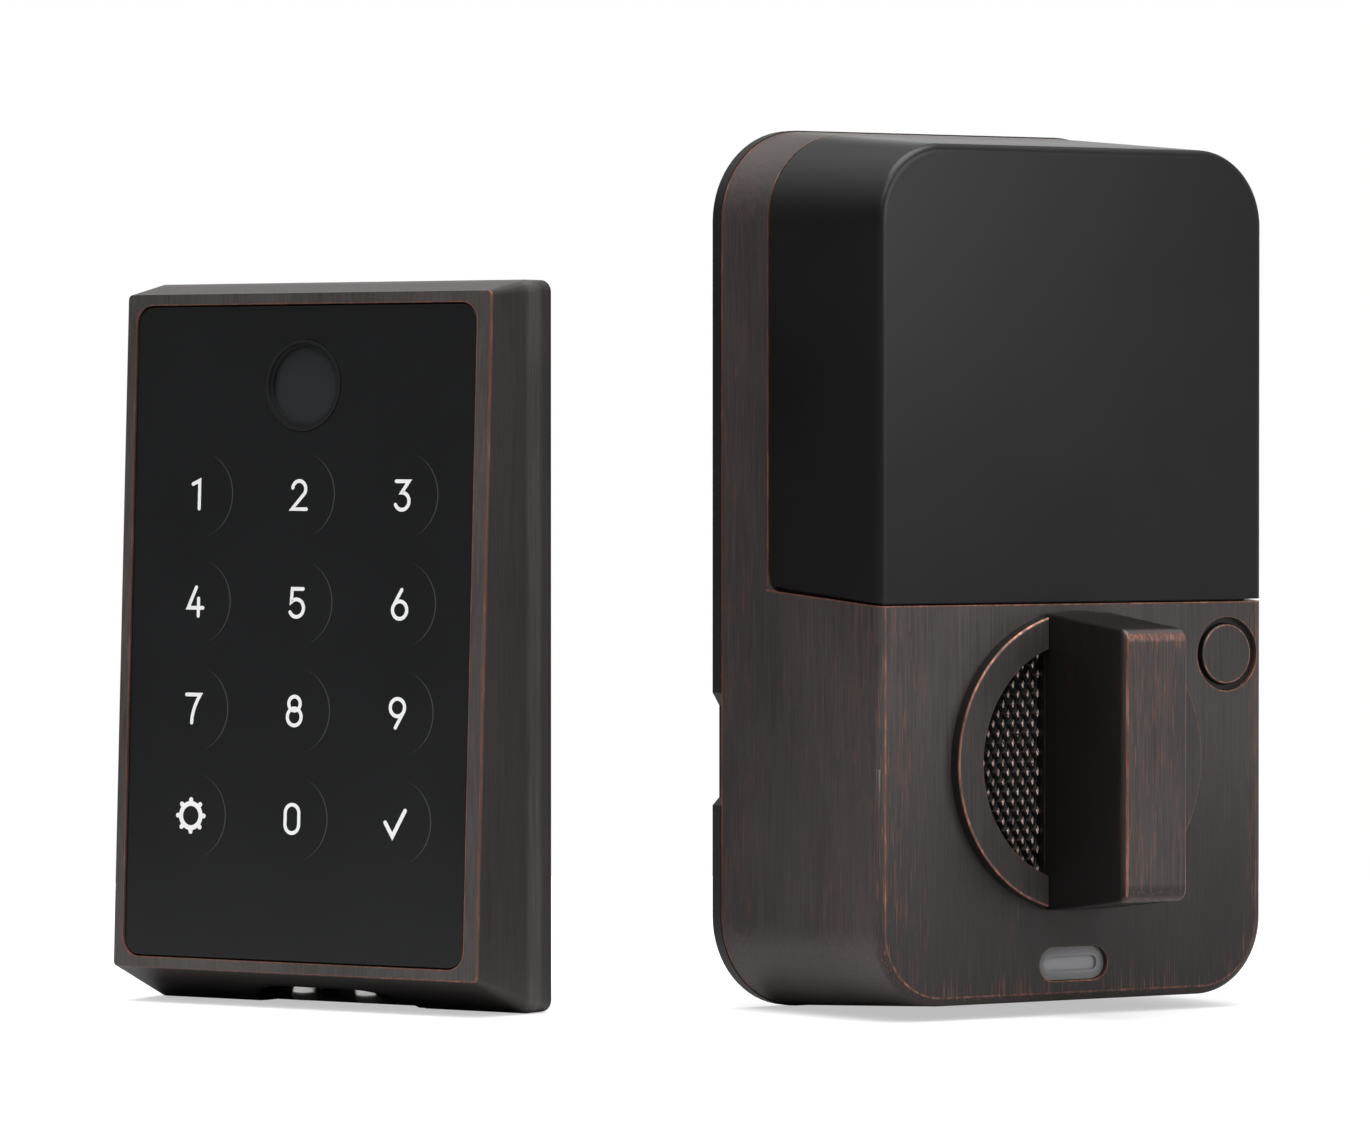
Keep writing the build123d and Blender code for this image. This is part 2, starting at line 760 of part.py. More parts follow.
with BuildPart() as keypad_core:
    with BuildSketch(kp_back.offset(-0.5)):
        with Locations((0, kp_h / 2)):
            RectangleRounded(kp_w - 5.0, kp_h - 5.0, 1.5)
    extrude(amount=kp_band + 0.5)
    with BuildSketch(glass_at(3.0)):
        with Locations((0, fc - 0.3)):
            RectangleRounded(kp_fw - 6.4, kp_fh - 7.4, 1.5)
    extrude(amount=-13)


def arch(g):
    """Corners and crown of the arch-shaped recess, grown by g."""
    return [(-16.5 - g, 3.0), (-14.9 - g, 8.6), (-11.0 - g * 0.7, 12.2 + g * 0.6), (0, 13.4 + g),
            (11.0 + g * 0.7, 12.2 + g * 0.6), (14.9 + g, 8.6), (16.5 + g, 3.0)]


# plane level with the bottom of the keypad: x to the right, y towards the front
kp_floor = Plane(origin=kp_origin, x_dir=right, z_dir=(0, 0, -1))

with BuildPart() as keypad_housing:
    add(keypad_blank.part)
    add(keypad_core.part, mode=Mode.SUBTRACT)
    with BuildSketch(glass_at(0)):
        with Locations((glass_x, fc)):
            RectangleRounded(glass_w + 0.5, glass_h + 0.5, glass_r + 0.25)
    extrude(amount=-1.8, mode=Mode.SUBTRACT)
    with BuildSketch(glass_at(0)):
        with Locations((0, fc)):
            RectangleRounded(62.4, 100.4, 2.0)
    extrude(amount=-4.0, mode=Mode.SUBTRACT)
    # bosses for the back cover screws
    with BuildSketch(kp_back.offset(2.9)):
        with Locations((-33.4, 9.0), (33.4, 9.0), (-33.4, 108.5), (33.4, 108.5)):
            Circle(2.1)
    extrude(amount=8.2)
    with BuildSketch(kp_back.offset(2.8)):
        with Locations((-33.4, 9.0), (33.4, 9.0), (-33.4, 108.5), (33.4, 108.5)):
            Circle(0.9)
    extrude(amount=6.5, mode=Mode.SUBTRACT)
    # recess for the emergency contacts in the bottom bevel
    with BuildSketch(kp_floor.offset(1.0)):
        with BuildLine():
            Spline(*arch(0.0))
            Polyline(arch(0.0)[-1], (arch(0.0)[-1][0], -1.0), (arch(0.0)[0][0], -1.0), arch(0.0)[0])
        make_face()
    extrude(amount=-9.5, mode=Mode.SUBTRACT)
write(keypad_housing, "keypad_housing")

with BuildPart() as glass_gasket:
    with BuildSketch(glass_at(1.78)):
        with Locations((glass_x, fc)):
            RectangleRounded(glass_w - 0.2, glass_h - 0.2, glass_r)
        with Locations((0, fc)):
            RectangleRounded(62.4, 100.4, 2.0, mode=Mode.SUBTRACT)
    extrude(amount=0.38)
write(glass_gasket, "glass_gasket")

with BuildPart() as glass_panel:
    with BuildSketch(glass_at(1.38)):
        with Locations((glass_x, fc)):
            RectangleRounded(glass_w, glass_h, glass_r)
        with Locations((sensor_x, kp_fh - sensor_down)):
            Circle(sensor_r + 0.08, mode=Mode.SUBTRACT)
    extrude(amount=1.1)
    fillet(glass_panel.faces().sort_by(Axis(tuple(kp_front.origin), tuple(front_n)))[-1].edges().sort_by(SortBy.LENGTH)[-1], 0.2)
write(glass_panel, "glass_panel")

with BuildPart() as light_guide:
    with BuildSketch(glass_at(2.4)):
        with Locations((0, fc)):
            RectangleRounded(61.8, 99.8, 1.8)
        with Locations((sensor_x, kp_fh - sensor_down)):
            Circle(sensor_r + 0.2, mode=Mode.SUBTRACT)
    extrude(amount=0.95)
    with BuildSketch(glass_at(1.47)):
        with Locations(*[(key_x + sx * key_dx, kp_fh - zr) for zr in key_rows for sx in (-1, 0, 1)]):
            Circle(5.2)
            Circle(4.6, mode=Mode.SUBTRACT)
    extrude(amount=-0.3, mode=Mode.SUBTRACT)
write(light_guide, "light_guide")

with BuildPart() as touch_circuit_board:
    with BuildSketch(glass_at(3.5)):
        with Locations((0, fc)):
            RectangleRounded(61.8, 99.8, 1.8)
        with Locations((sensor_x, kp_fh - sensor_down)):
            Circle(sensor_r + 0.2, mode=Mode.SUBTRACT)
        with Locations((0, 0)):
            Rectangle(36, 12, mode=Mode.SUBTRACT)
    extrude(amount=1.05)
write(touch_circuit_board, "touch_circuit_board")

with BuildPart() as keypad_components:
    with BuildSketch(glass_at(5.0)):
        with Locations((-12, 66)):
            Rectangle(10, 10)
        with Locations((14, 70)):
            Rectangle(9, 7)
        with Locations((10, 34)):
            Rectangle(8, 5)
    extrude(amount=1.45)
    with BuildSketch(glass_at(6.5)):
        with Locations((-14, 34)):
            Circle(4.6)
    extrude(amount=2.95)
write(keypad_components, "keypad_components")

with BuildPart() as fingerprint_ring:
    with BuildSketch(glass_at(3.3)):
        with Locations((sensor_x, kp_fh - sensor_down)):
            Circle(sensor_r)
            Circle(sensor_r - 1.1, mode=Mode.SUBTRACT)
    extrude(amount=3.15)
    with BuildSketch(glass_at(0.6)):
        with Locations((sensor_x, kp_fh - sensor_down)):
            Circle(sensor_r - 0.55)
    extrude(amount=1.0, mode=Mode.SUBTRACT)
write(fingerprint_ring, "fingerprint_ring")

with BuildPart() as fingerprint_sensor:
    with BuildSketch(glass_at(3.6)):
        with Locations((sensor_x, kp_fh - sensor_down)):
            Circle(sensor_r - 1.12)
    extrude(amount=2.3)
write(fingerprint_sensor, "fingerprint_sensor")

with BuildPart() as keypad_back_cover:
    with BuildSketch(kp_back.offset(1.3)):
        with Locations((0, kp_h / 2)):
            RectangleRounded(kp_w - 5.4, kp_h - 5.4, 1.4)
        with Locations((-33.4, 9.0), (33.4, 9.0), (-33.4, 108.5), (33.4, 108.5)):
            Circle(1.2, mode=Mode.SUBTRACT)
        with Locations((-bolt_x, 59.0), (bolt_x, 59.0)):
            Circle(4.0, mode=Mode.SUBTRACT)
        with Locations((0, 59.0)):
            RectangleRounded(15.0, 8.0, 1.5, mode=Mode.SUBTRACT)
        with Locations((0, 0)):
            Rectangle(36.4, 24, mode=Mode.SUBTRACT)
    extrude(amount=1.5)
write(keypad_back_cover, "keypad_back_cover")

with BuildPart() as threaded_posts:
    with BuildSketch(kp_back):
        with Locations((-bolt_x, 59.0), (bolt_x, 59.0)):
            Circle(3.98)
    extrude(amount=7.5)
    with BuildSketch(kp_back.offset(2.8)):
        with Locations((-bolt_x, 59.0), (bolt_x, 59.0)):
            Circle(5.4)
    extrude(amount=1.2)
    with BuildSketch(kp_back):
        with Locations((-bolt_x, 59.0), (bolt_x, 59.0)):
            Circle(2.1)
    extrude(amount=7.5, mode=Mode.SUBTRACT)
write(threaded_posts, "threaded_posts")

with BuildPart() as door_gasket:
    with BuildSketch(kp_back):
        with Locations((0, kp_h / 2)):
            RectangleRounded(kp_w - 5.6, kp_h - 5.6, 1.3)
            RectangleRounded(kp_w - 14.0, kp_h - 14.0, 1.3, mode=Mode.SUBTRACT)
        with Locations((0, 0)):
            Rectangle(36.4, 24, mode=Mode.SUBTRACT)
        with Locations((-33.4, 9.0), (33.4, 9.0), (-33.4, 108.5), (33.4, 108.5)):
            Circle(2.0, mode=Mode.SUBTRACT)
    extrude(amount=1.28)
write(door_gasket, "door_gasket")

with BuildPart() as keypad_screws:
    with BuildSketch(kp_back.offset(0.3)):
        with Locations((-33.4, 9.0), (33.4, 9.0), (-33.4, 108.5), (33.4, 108.5)):
            Circle(1.8)
    extrude(amount=0.98)
    with BuildSketch(kp_back.offset(1.2)):
        with Locations((-33.4, 9.0), (33.4, 9.0), (-33.4, 108.5), (33.4, 108.5)):
            Circle(0.88)
    extrude(amount=7.2)
write(keypad_screws, "keypad_screws")

with BuildPart() as cable_socket_keypad:
    with BuildSketch(kp_back.offset(0.6)):
        with Locations((0, 59.0)):
            Rectangle(14.0, 6.4)
    extrude(amount=6.4)
    with BuildSketch(kp_back.offset(0.6)):
        with Locations((0, 59.0)):
            Rectangle(12.0, 4.4)
    extrude(amount=4.6, mode=Mode.SUBTRACT)
write(cable_socket_keypad, "cable_socket_keypad")

# cup of black plastic behind the arch, with its roof 6.4 above the bottom and a
# wall across its back
with BuildPart() as contact_block:
    with BuildSketch(kp_floor.offset(-0.1)):
        with BuildLine():
            Spline(*arch(-0.05))
            Polyline(arch(-0.05)[-1], (arch(-0.05)[-1][0], -1.0), (arch(-0.05)[0][0], -1.0), arch(-0.05)[0])
        make_face()
    extrude(amount=-8.1)
    with BuildSketch(kp_floor.offset(1.0)):
        with BuildLine():
            Spline(*arch(-1.1))
            Polyline(arch(-1.1)[-1], (arch(-1.1)[-1][0], 1.5), (arch(-1.1)[0][0], 1.5), arch(-1.1)[0])
        make_face()
    extrude(amount=-7.2, mode=Mode.SUBTRACT)
    add(keypad_blank.part, mode=Mode.INTERSECT)
    with BuildSketch(kp_floor.offset(1.0)):
        with Locations((-snap_pitch / 2, 5.7), (snap_pitch / 2, 5.7)):
            Circle(1.5)
    extrude(amount=-12, mode=Mode.SUBTRACT)
write(contact_block, "contact_block")

with BuildPart() as battery_terminals:
    with BuildSketch(kp_floor.offset(-6.18)):
        with Locations((-snap_pitch / 2, 5.7), (snap_pitch / 2, 5.7)):
            Circle(2.75)
    extrude(amount=5.6)
    fillet(battery_terminals.faces().group_by(Axis.Z)[0].edges(), 1.4)
    with BuildSketch(kp_floor.offset(-6.1)):
        with Locations((-snap_pitch / 2, 5.7), (snap_pitch / 2, 5.7)):
            Circle(1.45)
    extrude(amount=-2.2)
write(battery_terminals, "battery_terminals")
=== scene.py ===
import math

import bmesh
import bpy
from mathutils import Matrix, Vector, geometry


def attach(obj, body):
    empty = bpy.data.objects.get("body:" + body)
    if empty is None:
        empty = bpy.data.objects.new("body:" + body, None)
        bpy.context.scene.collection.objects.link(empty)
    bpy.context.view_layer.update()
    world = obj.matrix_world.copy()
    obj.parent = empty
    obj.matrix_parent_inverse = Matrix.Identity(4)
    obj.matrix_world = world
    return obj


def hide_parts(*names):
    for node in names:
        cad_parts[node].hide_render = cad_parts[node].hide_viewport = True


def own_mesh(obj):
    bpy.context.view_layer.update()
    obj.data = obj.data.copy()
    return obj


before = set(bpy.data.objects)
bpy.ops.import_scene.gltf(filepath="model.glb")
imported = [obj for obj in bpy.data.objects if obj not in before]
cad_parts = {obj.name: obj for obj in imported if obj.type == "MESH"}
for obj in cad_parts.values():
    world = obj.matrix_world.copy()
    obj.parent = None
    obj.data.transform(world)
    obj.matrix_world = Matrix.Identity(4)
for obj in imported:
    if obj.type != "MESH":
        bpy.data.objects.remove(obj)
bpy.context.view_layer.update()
scene = bpy.context.scene
MM = 0.001

# ------------------------------------------------------------------ places
KP_YAW = math.radians(66.0)
KP_O = Vector((-82.5, 42.1, -40.8))                      # mm, rear plane, bottom centre
RIGHT = Vector((math.cos(KP_YAW), -math.sin(KP_YAW), 0))
OUT = Vector((-math.sin(KP_YAW), -math.cos(KP_YAW), 0))
UP = Vector((0, 0, 1))
KP_DB, KP_DT, KP_ZB, KP_ZT = 18.7, 14.3, 5.8, 116.1
LEAN = math.atan2(KP_DB - KP_DT, KP_ZT - KP_ZB)
F_UP = UP * math.cos(LEAN) - OUT * math.sin(LEAN)
F_N = RIGHT.cross(F_UP)
F_O = KP_O + OUT * KP_DB + UP * KP_ZB
KP_FH = 110.39
FC = KP_FH / 2


def kf(u, v, h=0.0):
    """Point on the keypad's front, u right, v up its slope, h in front of the face; metres."""
    return (F_O + RIGHT * u + F_UP * v + F_N * h) * MM


# ------------------------------------------------------------------ shader expressions
class V:
    """A number in a material, written as an expression."""

    def __init__(self, g, s):
        self.g, self.s = g, s

    def op(self, kind, *others, clamp=False):
        n = self.g.nt.nodes.new("ShaderNodeMath")
        n.operation, n.use_clamp = kind, clamp
        for i, o in enumerate((self, *others)):
            o = o.s if isinstance(o, V) else o
            if isinstance(o, (int, float)):
                n.inputs[i].default_value = o
            else:
                self.g.nt.links.new(o, n.inputs[i])
        return V(self.g, n.outputs[0])

    def __add__(self, o): return self.op("ADD", o)
    __radd__ = __add__
    def __sub__(self, o): return self.op("SUBTRACT", o)
    def __rsub__(self, o): return self.g.v(o).op("SUBTRACT", self)
    def __mul__(self, o): return self.op("MULTIPLY", o)
    __rmul__ = __mul__
    def __truediv__(self, o): return self.op("DIVIDE", o)
    def abs(self): return self.op("ABSOLUTE")
    def max(self, o): return self.op("MAXIMUM", o)
    def min(self, o): return self.op("MINIMUM", o)
    def sqrt(self): return self.op("SQRT")
    def pow(self, o): return self.op("POWER", o)
    def sin(self): return self.op("SINE")
    def sat(self): return self.op("MULTIPLY", 1.0, clamp=True)

    def step(self, lo, hi, out0=0.0, out1=1.0):
        """Smooth 0 to 1 as the number goes from lo to hi (hi may be under lo)."""
        n = self.g.nt.nodes.new("ShaderNodeMapRange")
        n.interpolation_type = "SMOOTHSTEP"
        flip = hi < lo
        n.inputs["From Min"].default_value = min(lo, hi)
        n.inputs["From Max"].default_value = max(lo, hi)
        n.inputs["To Min"].default_value = out1 if flip else out0
        n.inputs["To Max"].default_value = out0 if flip else out1
        self.g.nt.links.new(self.s, n.inputs["Value"])
        return V(self.g, n.outputs["Result"])

    def band(self, at, half, soft):
        """1 within half of at, fading over soft."""
        return (self - at).abs().step(half + soft, half)


class G:
    def __init__(self, name):
        self.m = bpy.data.materials.new(name)
        self.m.use_nodes = True
        self.nt = self.m.node_tree
        self.nt.nodes.clear()
        self.out = self.nt.nodes.new("ShaderNodeOutputMaterial")
        self.b = self.nt.nodes.new("ShaderNodeBsdfPrincipled")
        self.nt.links.new(self.b.outputs[0], self.out.inputs[0])
        self.tc = self.nt.nodes.new("ShaderNodeTexCoord").outputs["Object"]
        sc = self.nt.nodes.new("ShaderNodeVectorMath")
        sc.operation = "SCALE"
        sc.inputs["Scale"].default_value = 1000.0
        self.nt.links.new(self.tc, sc.inputs[0])
        self.p = sc.outputs[0]                      # row coordinates in millimetres
        sp = self.nt.nodes.new("ShaderNodeSeparateXYZ")
        self.nt.links.new(self.p, sp.inputs[0])
        self.x, self.y, self.z = (V(self, o) for o in sp.outputs)

    def v(self, x):
        if isinstance(x, V):
            return x
        n = self.nt.nodes.new("ShaderNodeValue")
        n.outputs[0].default_value = x
        return V(self, n.outputs[0])

    def noise(self, scale=(1, 1, 1), detail=2.0, rough=0.5, seed=0.0, distort=0.0):
        mp = self.nt.nodes.new("ShaderNodeMapping")
        mp.inputs["Scale"].default_value = scale
        mp.inputs["Location"].default_value = (seed * 13.7, seed * 7.3, seed * 3.1)
        self.nt.links.new(self.p, mp.inputs[0])
        n = self.nt.nodes.new("ShaderNodeTexNoise")
        n.inputs["Scale"].default_value = 1.0
        n.inputs["Detail"].default_value = detail
        n.inputs["Roughness"].default_value = rough
        n.inputs["Distortion"].default_value = distort
        self.nt.links.new(mp.outputs[0], n.inputs["Vector"])
        return V(self, n.outputs["Fac"])

    def along(self, origin, direction):
        """Distance in mm along a direction from a point."""
        d = self.nt.nodes.new("ShaderNodeVectorMath")
        d.operation = "DOT_PRODUCT"
        d.inputs[1].default_value = direction
        self.nt.links.new(self.p, d.inputs[0])
        return V(self, d.outputs["Value"]) - float(Vector(origin).dot(Vector(direction)))

    def sdf(self, a, b, ca, cb, ha, hb, r):
        """Signed distance to a rounded rectangle, negative inside."""
        qa = (a - ca).abs() - (ha - r)
        qb = (b - cb).abs() - (hb - r)
        oa, ob = qa.max(0.0), qb.max(0.0)
        return (oa * oa + ob * ob).sqrt() + qa.max(qb).min(0.0) - r

    def dist(self, a, b, ca, cb):
        da, db = a - ca, b - cb
        return (da * da + db * db).sqrt()

    def mix(self, fac, a, b):
        n = self.nt.nodes.new("ShaderNodeMix")
        n.data_type = "RGBA"
        for sock, val in ((n.inputs[0], fac), (n.inputs[6], a), (n.inputs[7], b)):
            if isinstance(val, V):
                val = val.s
            if isinstance(val, (tuple, list)):
                sock.default_value = (*val[:3], 1.0)
            elif isinstance(val, (int, float)):
                sock.default_value = val
            else:
                self.nt.links.new(val, sock)
        return n.outputs[2]

    def set(self, name, val):
        s = self.b.inputs[name]
        if isinstance(val, V):
            val = val.s
        if isinstance(val, (tuple, list)):
            s.default_value = (*val[:3], 1.0) if len(s.default_value) == 4 else val
        elif isinstance(val, (int, float)):
            s.default_value = val
        else:
            self.nt.links.new(val, s)

    def bump(self, height, dist_mm, strength=1.0):
        n = self.nt.nodes.new("ShaderNodeBump")
        n.inputs["Strength"].default_value = strength
        n.inputs["Distance"].default_value = dist_mm * MM
        self.nt.links.new(height.s, n.inputs["Height"])
        self.nt.links.new(n.outputs[0], self.b.inputs["Normal"])


DARK = (0.027, 0.0235, 0.0225)
DARK2 = (0.060, 0.0525, 0.050)
COPPER = (0.31, 0.125, 0.083)
BRIGHT = (0.56, 0.29, 0.21)


def bronze(name, wear=None, hairs=None, shade=None, streaks=1.0, tone=1.0, rough=0.40):
    """Oil-rubbed bronze: dark lacquer brushed along Z, rubbed through to copper on wear(g) and in fine hairs, and
    darkened by shade(g) as painted shade.
    """
    g = G(name)
    brush = g.noise((3.4, 3.4, 0.07), 4.0, 0.66, 1.0)
    fine = g.noise((9.0, 9.0, 0.30), 2.0, 0.5, 2.0)
    broad = g.noise((0.06, 0.06, 0.030), 3.0, 0.55, 3.0)
    tint = (brush.step(0.28, 0.74) * 0.62 + fine.step(0.3, 0.7) * 0.18 + broad.step(0.3, 0.7) * 0.40).sat()
    # shade(g) is painted shade: it dims the brushed tint here and pulls the base towards a darker lacquer below.
    if shade is not None:
        dim = shade(g)
        tint = tint * (1.0 - dim * 0.85)
    base = g.mix(tint, tuple(c * tone for c in DARK), tuple(c * tone for c in DARK2))
    if shade is not None:
        base = g.mix(dim, base, tuple(c * 0.30 for c in DARK))
    # copper hairs: thin, long, gathered in patches and where hairs(g) says
    patch = g.noise((0.13, 0.13, 0.045), 2.0, 0.5, 6.0).step(0.44, 0.70)
    if hairs is not None:
        where = hairs(g)
        patch = (patch * 0.6 + where).sat()
    h1 = g.noise((5.2, 5.2, 0.085), 2.0, 0.5, 5.0).step(0.585, 0.70)
    h2 = g.noise((7.5, 7.5, 0.22), 1.0, 0.4, 9.0).step(0.60, 0.74)
    copper = (h1 * 0.30 + h2 * 0.16) * patch * streaks
    if hairs is not None:
        # crisp short scratches where the hand rubs most
        h3 = g.noise((6.4, 6.4, 0.16), 1.0, 0.4, 13.0).step(0.635, 0.70)
        copper = (copper + h3 * (where * 0.75 + patch * 0.12) * 0.62 * streaks).sat()
    bright = g.v(0.0)
    if wear is not None:
        breakup = g.noise((1.1, 1.1, 0.16), 3.0, 0.65, 8.0)
        w = wear(g)
        copper = (copper + w * (breakup.step(0.30, 0.62) * 0.85 + 0.15)).sat()
        bright = w * breakup.step(0.50, 0.72) * 0.55
    g.set("Base Color", g.mix(bright, g.mix(copper, base, COPPER), BRIGHT))
    g.set("Metallic", copper * 0.45 + 0.25)
    g.set("Roughness", (brush - 0.5) * 0.18 + (broad - 0.5) * 0.10 + rough - copper * 0.06)
    g.set("Specular IOR Level", 0.5)
    g.bump(brush * 0.7 + fine * 0.3, 0.022, 0.6)
    return g.m


def plastic(name, colour, rough=0.42, grain=2.2, bump=0.010, spec=0.5, lift=0.25, coat=0.0):
    """Moulded plastic with a fine spark-eroded grain and faint tone drift."""
    g = G(name)
    n1 = g.noise((grain, grain, grain), 3.0, 0.6, 1.0)
    n2 = g.noise((0.05, 0.05, 0.05), 2.0, 0.5, 2.0)
    k = (n1 * 0.35 + n2 * 0.65).step(0.3, 0.7)
    g.set("Base Color", g.mix(k, tuple(c * (1 - lift) for c in colour), tuple(c * (1 + lift) for c in colour)))
    g.set("Roughness", (n1 - 0.5) * 0.10 + (n2 - 0.5) * 0.06 + rough)
    g.set("Specular IOR Level", spec)
    if coat:
        g.set("Coat Weight", coat)
        g.set("Coat Roughness", 0.12)
    g.bump(n1, bump, 0.5)
    return g.m


def metal(name, colour, rough=0.32, scale=(1.5, 1.5, 1.5), dirt=0.25):
    g = G(name)
    n1 = g.noise(scale, 4.0, 0.6, 1.0)
    n2 = g.noise((0.12, 0.12, 0.12), 3.0, 0.6, 2.0)
    g.set("Base Color", g.mix((n1 * 0.5 + n2 * 0.5).step(0.32, 0.68), tuple(c * (1 - dirt) for c in colour), colour))
    g.set("Metallic", 1.0)
    g.set("Roughness", (n1 - 0.5) * 0.18 + (n2 - 0.5) * 0.1 + rough)
    g.bump(n1, 0.008, 0.5)
    return g.m


# ---- wear masks, from the real outline of each piece (mm in the row frame)
def seam_z(g):
    return (g.y + 43.4) * (2.1 / 28.7) + 25.2


def wear_housing(g):
    front = g.y.step(-42.6, -43.0)
    d = g.sdf(g.x, g.z, 0.0, 29.95, 37.9, 68.35, 12.2)
    far = g.x.step(-30.0, -20.0, 0.75, 0.22).max(g.z.step(-20.0, -34.0) * 0.45)
    edge = d.band(-1.30, 0.04, 0.20) * front * far * 0.85
    below = g.z.step(27.9, 27.0)
    seam = (g.z - seam_z(g)).band(0.0, 0.06, 0.20) * g.y.step(-13.8, -15.0) * 1.1
    # only the outer edges of the seam face and of the band are rubbed, not the ledges inside the cover
    seam = seam * g.y.step(-42.3, -42.9).max(g.sdf(g.x, g.z, 0.0, 30.0, 38.6, 70.0, 13.0).step(-1.6, -1.0))
    ahead = g.y.band(-14.7, 0.06, 0.22) * g.z.step(27.5, 29.0) * 0.75
    ahead = ahead * g.sdf(g.x, g.z, 0.0, 30.3, 39.8, 70.3, 14.1).step(-1.3, -0.6)
    rear = g.y.band(-2.5, 0.10, 0.30) * 0.65
    rim = g.dist(g.x, g.z, 30.7, 16.7).band(6.05, 0.03, 0.14) * front * g.z.step(22.0, 13.0, 0.25, 0.9)
    lens = g.sdf(g.x, g.z, 0.0, -32.5, 6.7, 2.7, 2.7).band(0.06, 0.04, 0.16) * front
    lens = lens * (0.15 + g.z.step(-31.5, -34.0) * 0.85)
    return (edge * below).max(seam).max(ahead).max(rear).max(rim).max(lens)


def painted_shade_housing(g):
    """Painted shade: the front is darkened towards the foot and a little towards the right."""
    front = g.y.step(-41.6, -43.2)
    return g.z.step(14.0, -42.0) * front * 0.62 + g.x.step(0.0, 38.0) * front * 0.10


def hairs_housing(g):
    """More copper hairs near the front's left edge, its bottom and the rear band."""
    left = g.x.step(-24.0, -37.0) * g.y.step(-41.0, -43.0)
    low = g.z.step(-28.0, -38.0) * g.y.step(-41.0, -43.0) * 0.6
    top = g.z.step(12.0, 25.0) * g.x.step(10.0, -36.0) * g.y.step(-41.0, -43.0) * 0.6
    band = g.y.step(-16.0, -6.0) * 0.9
    corner = g.sdf(g.x, g.z, 0.0, 29.95, 37.9, 68.35, 12.2).band(-1.0, 1.0, 2.5) * 0.7
    return left.max(low).max(top).max(band).max(corner)


def wear_disc(g):
    r = g.dist(g.x, g.z, 0.0, 0.0)
    side = g.x.step(9.0, -6.0) * 0.6 + 0.4
    edge = r.band(23.88, 0.04, 0.18) * g.y.step(-45.0, -45.4) * side
    inner = r.band(19.35, 0.02, 0.10) * g.y.step(-45.2, -45.5) * 0.25
    return edge.max(inner)


def painted_shade_disc(g):
    """Painted shade on the disc's rim wall, down in its recess and on its faces behind the front."""
    r = g.dist(g.x, g.z, 0.0, 0.0)
    return (r.step(23.9, 24.05) * 0.9).max(r.step(19.35, 19.2) * 0.9).max(g.y.step(-45.3, -44.9) * 0.8)


def wear_grip(g):
    ax = g.x.abs()
    side = ax.step(5.46, 5.62) * g.y.step(-65.30, -65.60) * 0.90
    smear_n = g.noise((2.4, 2.4, 0.05), 3.0, 0.6, 11.0)
    front = g.y.step(-64.6, -65.6)
    edge_top = g.z.step(19.4, 20.1) * g.z.step(21.1, 20.5)
    top = edge_top * front * smear_n.step(0.34, 0.62)
    drip = g.z.step(17.2, 19.8) * g.z.step(21.1, 20.5) * front * smear_n.step(0.52, 0.66) * 0.7
    low = g.z.step(-20.6, -21.3) * g.y.step(-62.5, -65.0) * smear_n.step(0.46, 0.7) * 0.6
    back = g.y.band(-44.4, 0.03, 0.2) * 0.3
    return side.max(top * 0.8).max(drip).max(low).max(back)


def hairs_grip(g):
    return g.y.step(-64.8, -65.5) * g.x.step(-6.5, 2.0, 0.9, 0.55)


def painted_shade_grip(g):
    """Painted shade: both flanks, the top and the foot are darkened as if in shadow; the front is left lighter."""
    flank = g.y.step(-65.0, -63.6)
    foot = g.z.step(-18.5, -19.8) * g.z.step(-21.2, -20.4) * 0.55
    return flank.max(foot)


def wear_button(g):
    r = g.dist(g.x, g.z, 30.7, 16.7)
    return r.band(4.66, 0.02, 0.13) * g.y.step(-42.7, -43.0) * 0.8


def painted_shade_button(g):
    # Painted shade on the cap's side, down in the hole around it.
    return g.dist(g.x, g.z, 30.7, 16.7).step(4.75, 4.88)


def wear_keypad(g):
    u = g.along(F_O, RIGHT)
    v = g.along(F_O, F_UP)
    w = g.along(F_O, F_N)
    front = w.step(-0.7, -0.25)
    lip = g.sdf(u, v, -0.45, FC, 33.95, 53.4, 3.05).band(0.06, 0.04, 0.14) * front
    d = g.sdf(u, v, 0.0, FC, 36.2, KP_FH / 2, 0.8)
    edge = d.band(-0.02, 0.06, 0.16) * w.step(-0.6, -0.2)
    side = u.step(33.0, 35.9) * 0.95
    low = v.step(2.5, 0.4) * u.step(-38.0, 30.0, 0.25, 0.7)
    return (lip * 0.75).max(edge * side.max(low))


def painted_shade_keypad(g):
    """Painted shade on the tapered sides and along the rear edge, with a painted highlight stripe where the side
    turns at the back; the bezel face stays lighter.
    """
    w = g.along(F_O, F_N)
    u = g.along(F_O, RIGHT)
    depth = g.along(KP_O, OUT)
    side = w.step(-0.15, -0.7)
    painted_highlight_stripe = depth.band(4.6, 0.9, 1.6)
    edge = depth.step(0.9, 0.3)
    return (side * (0.45 - painted_highlight_stripe * 0.42)).max(edge * 0.9).sat()


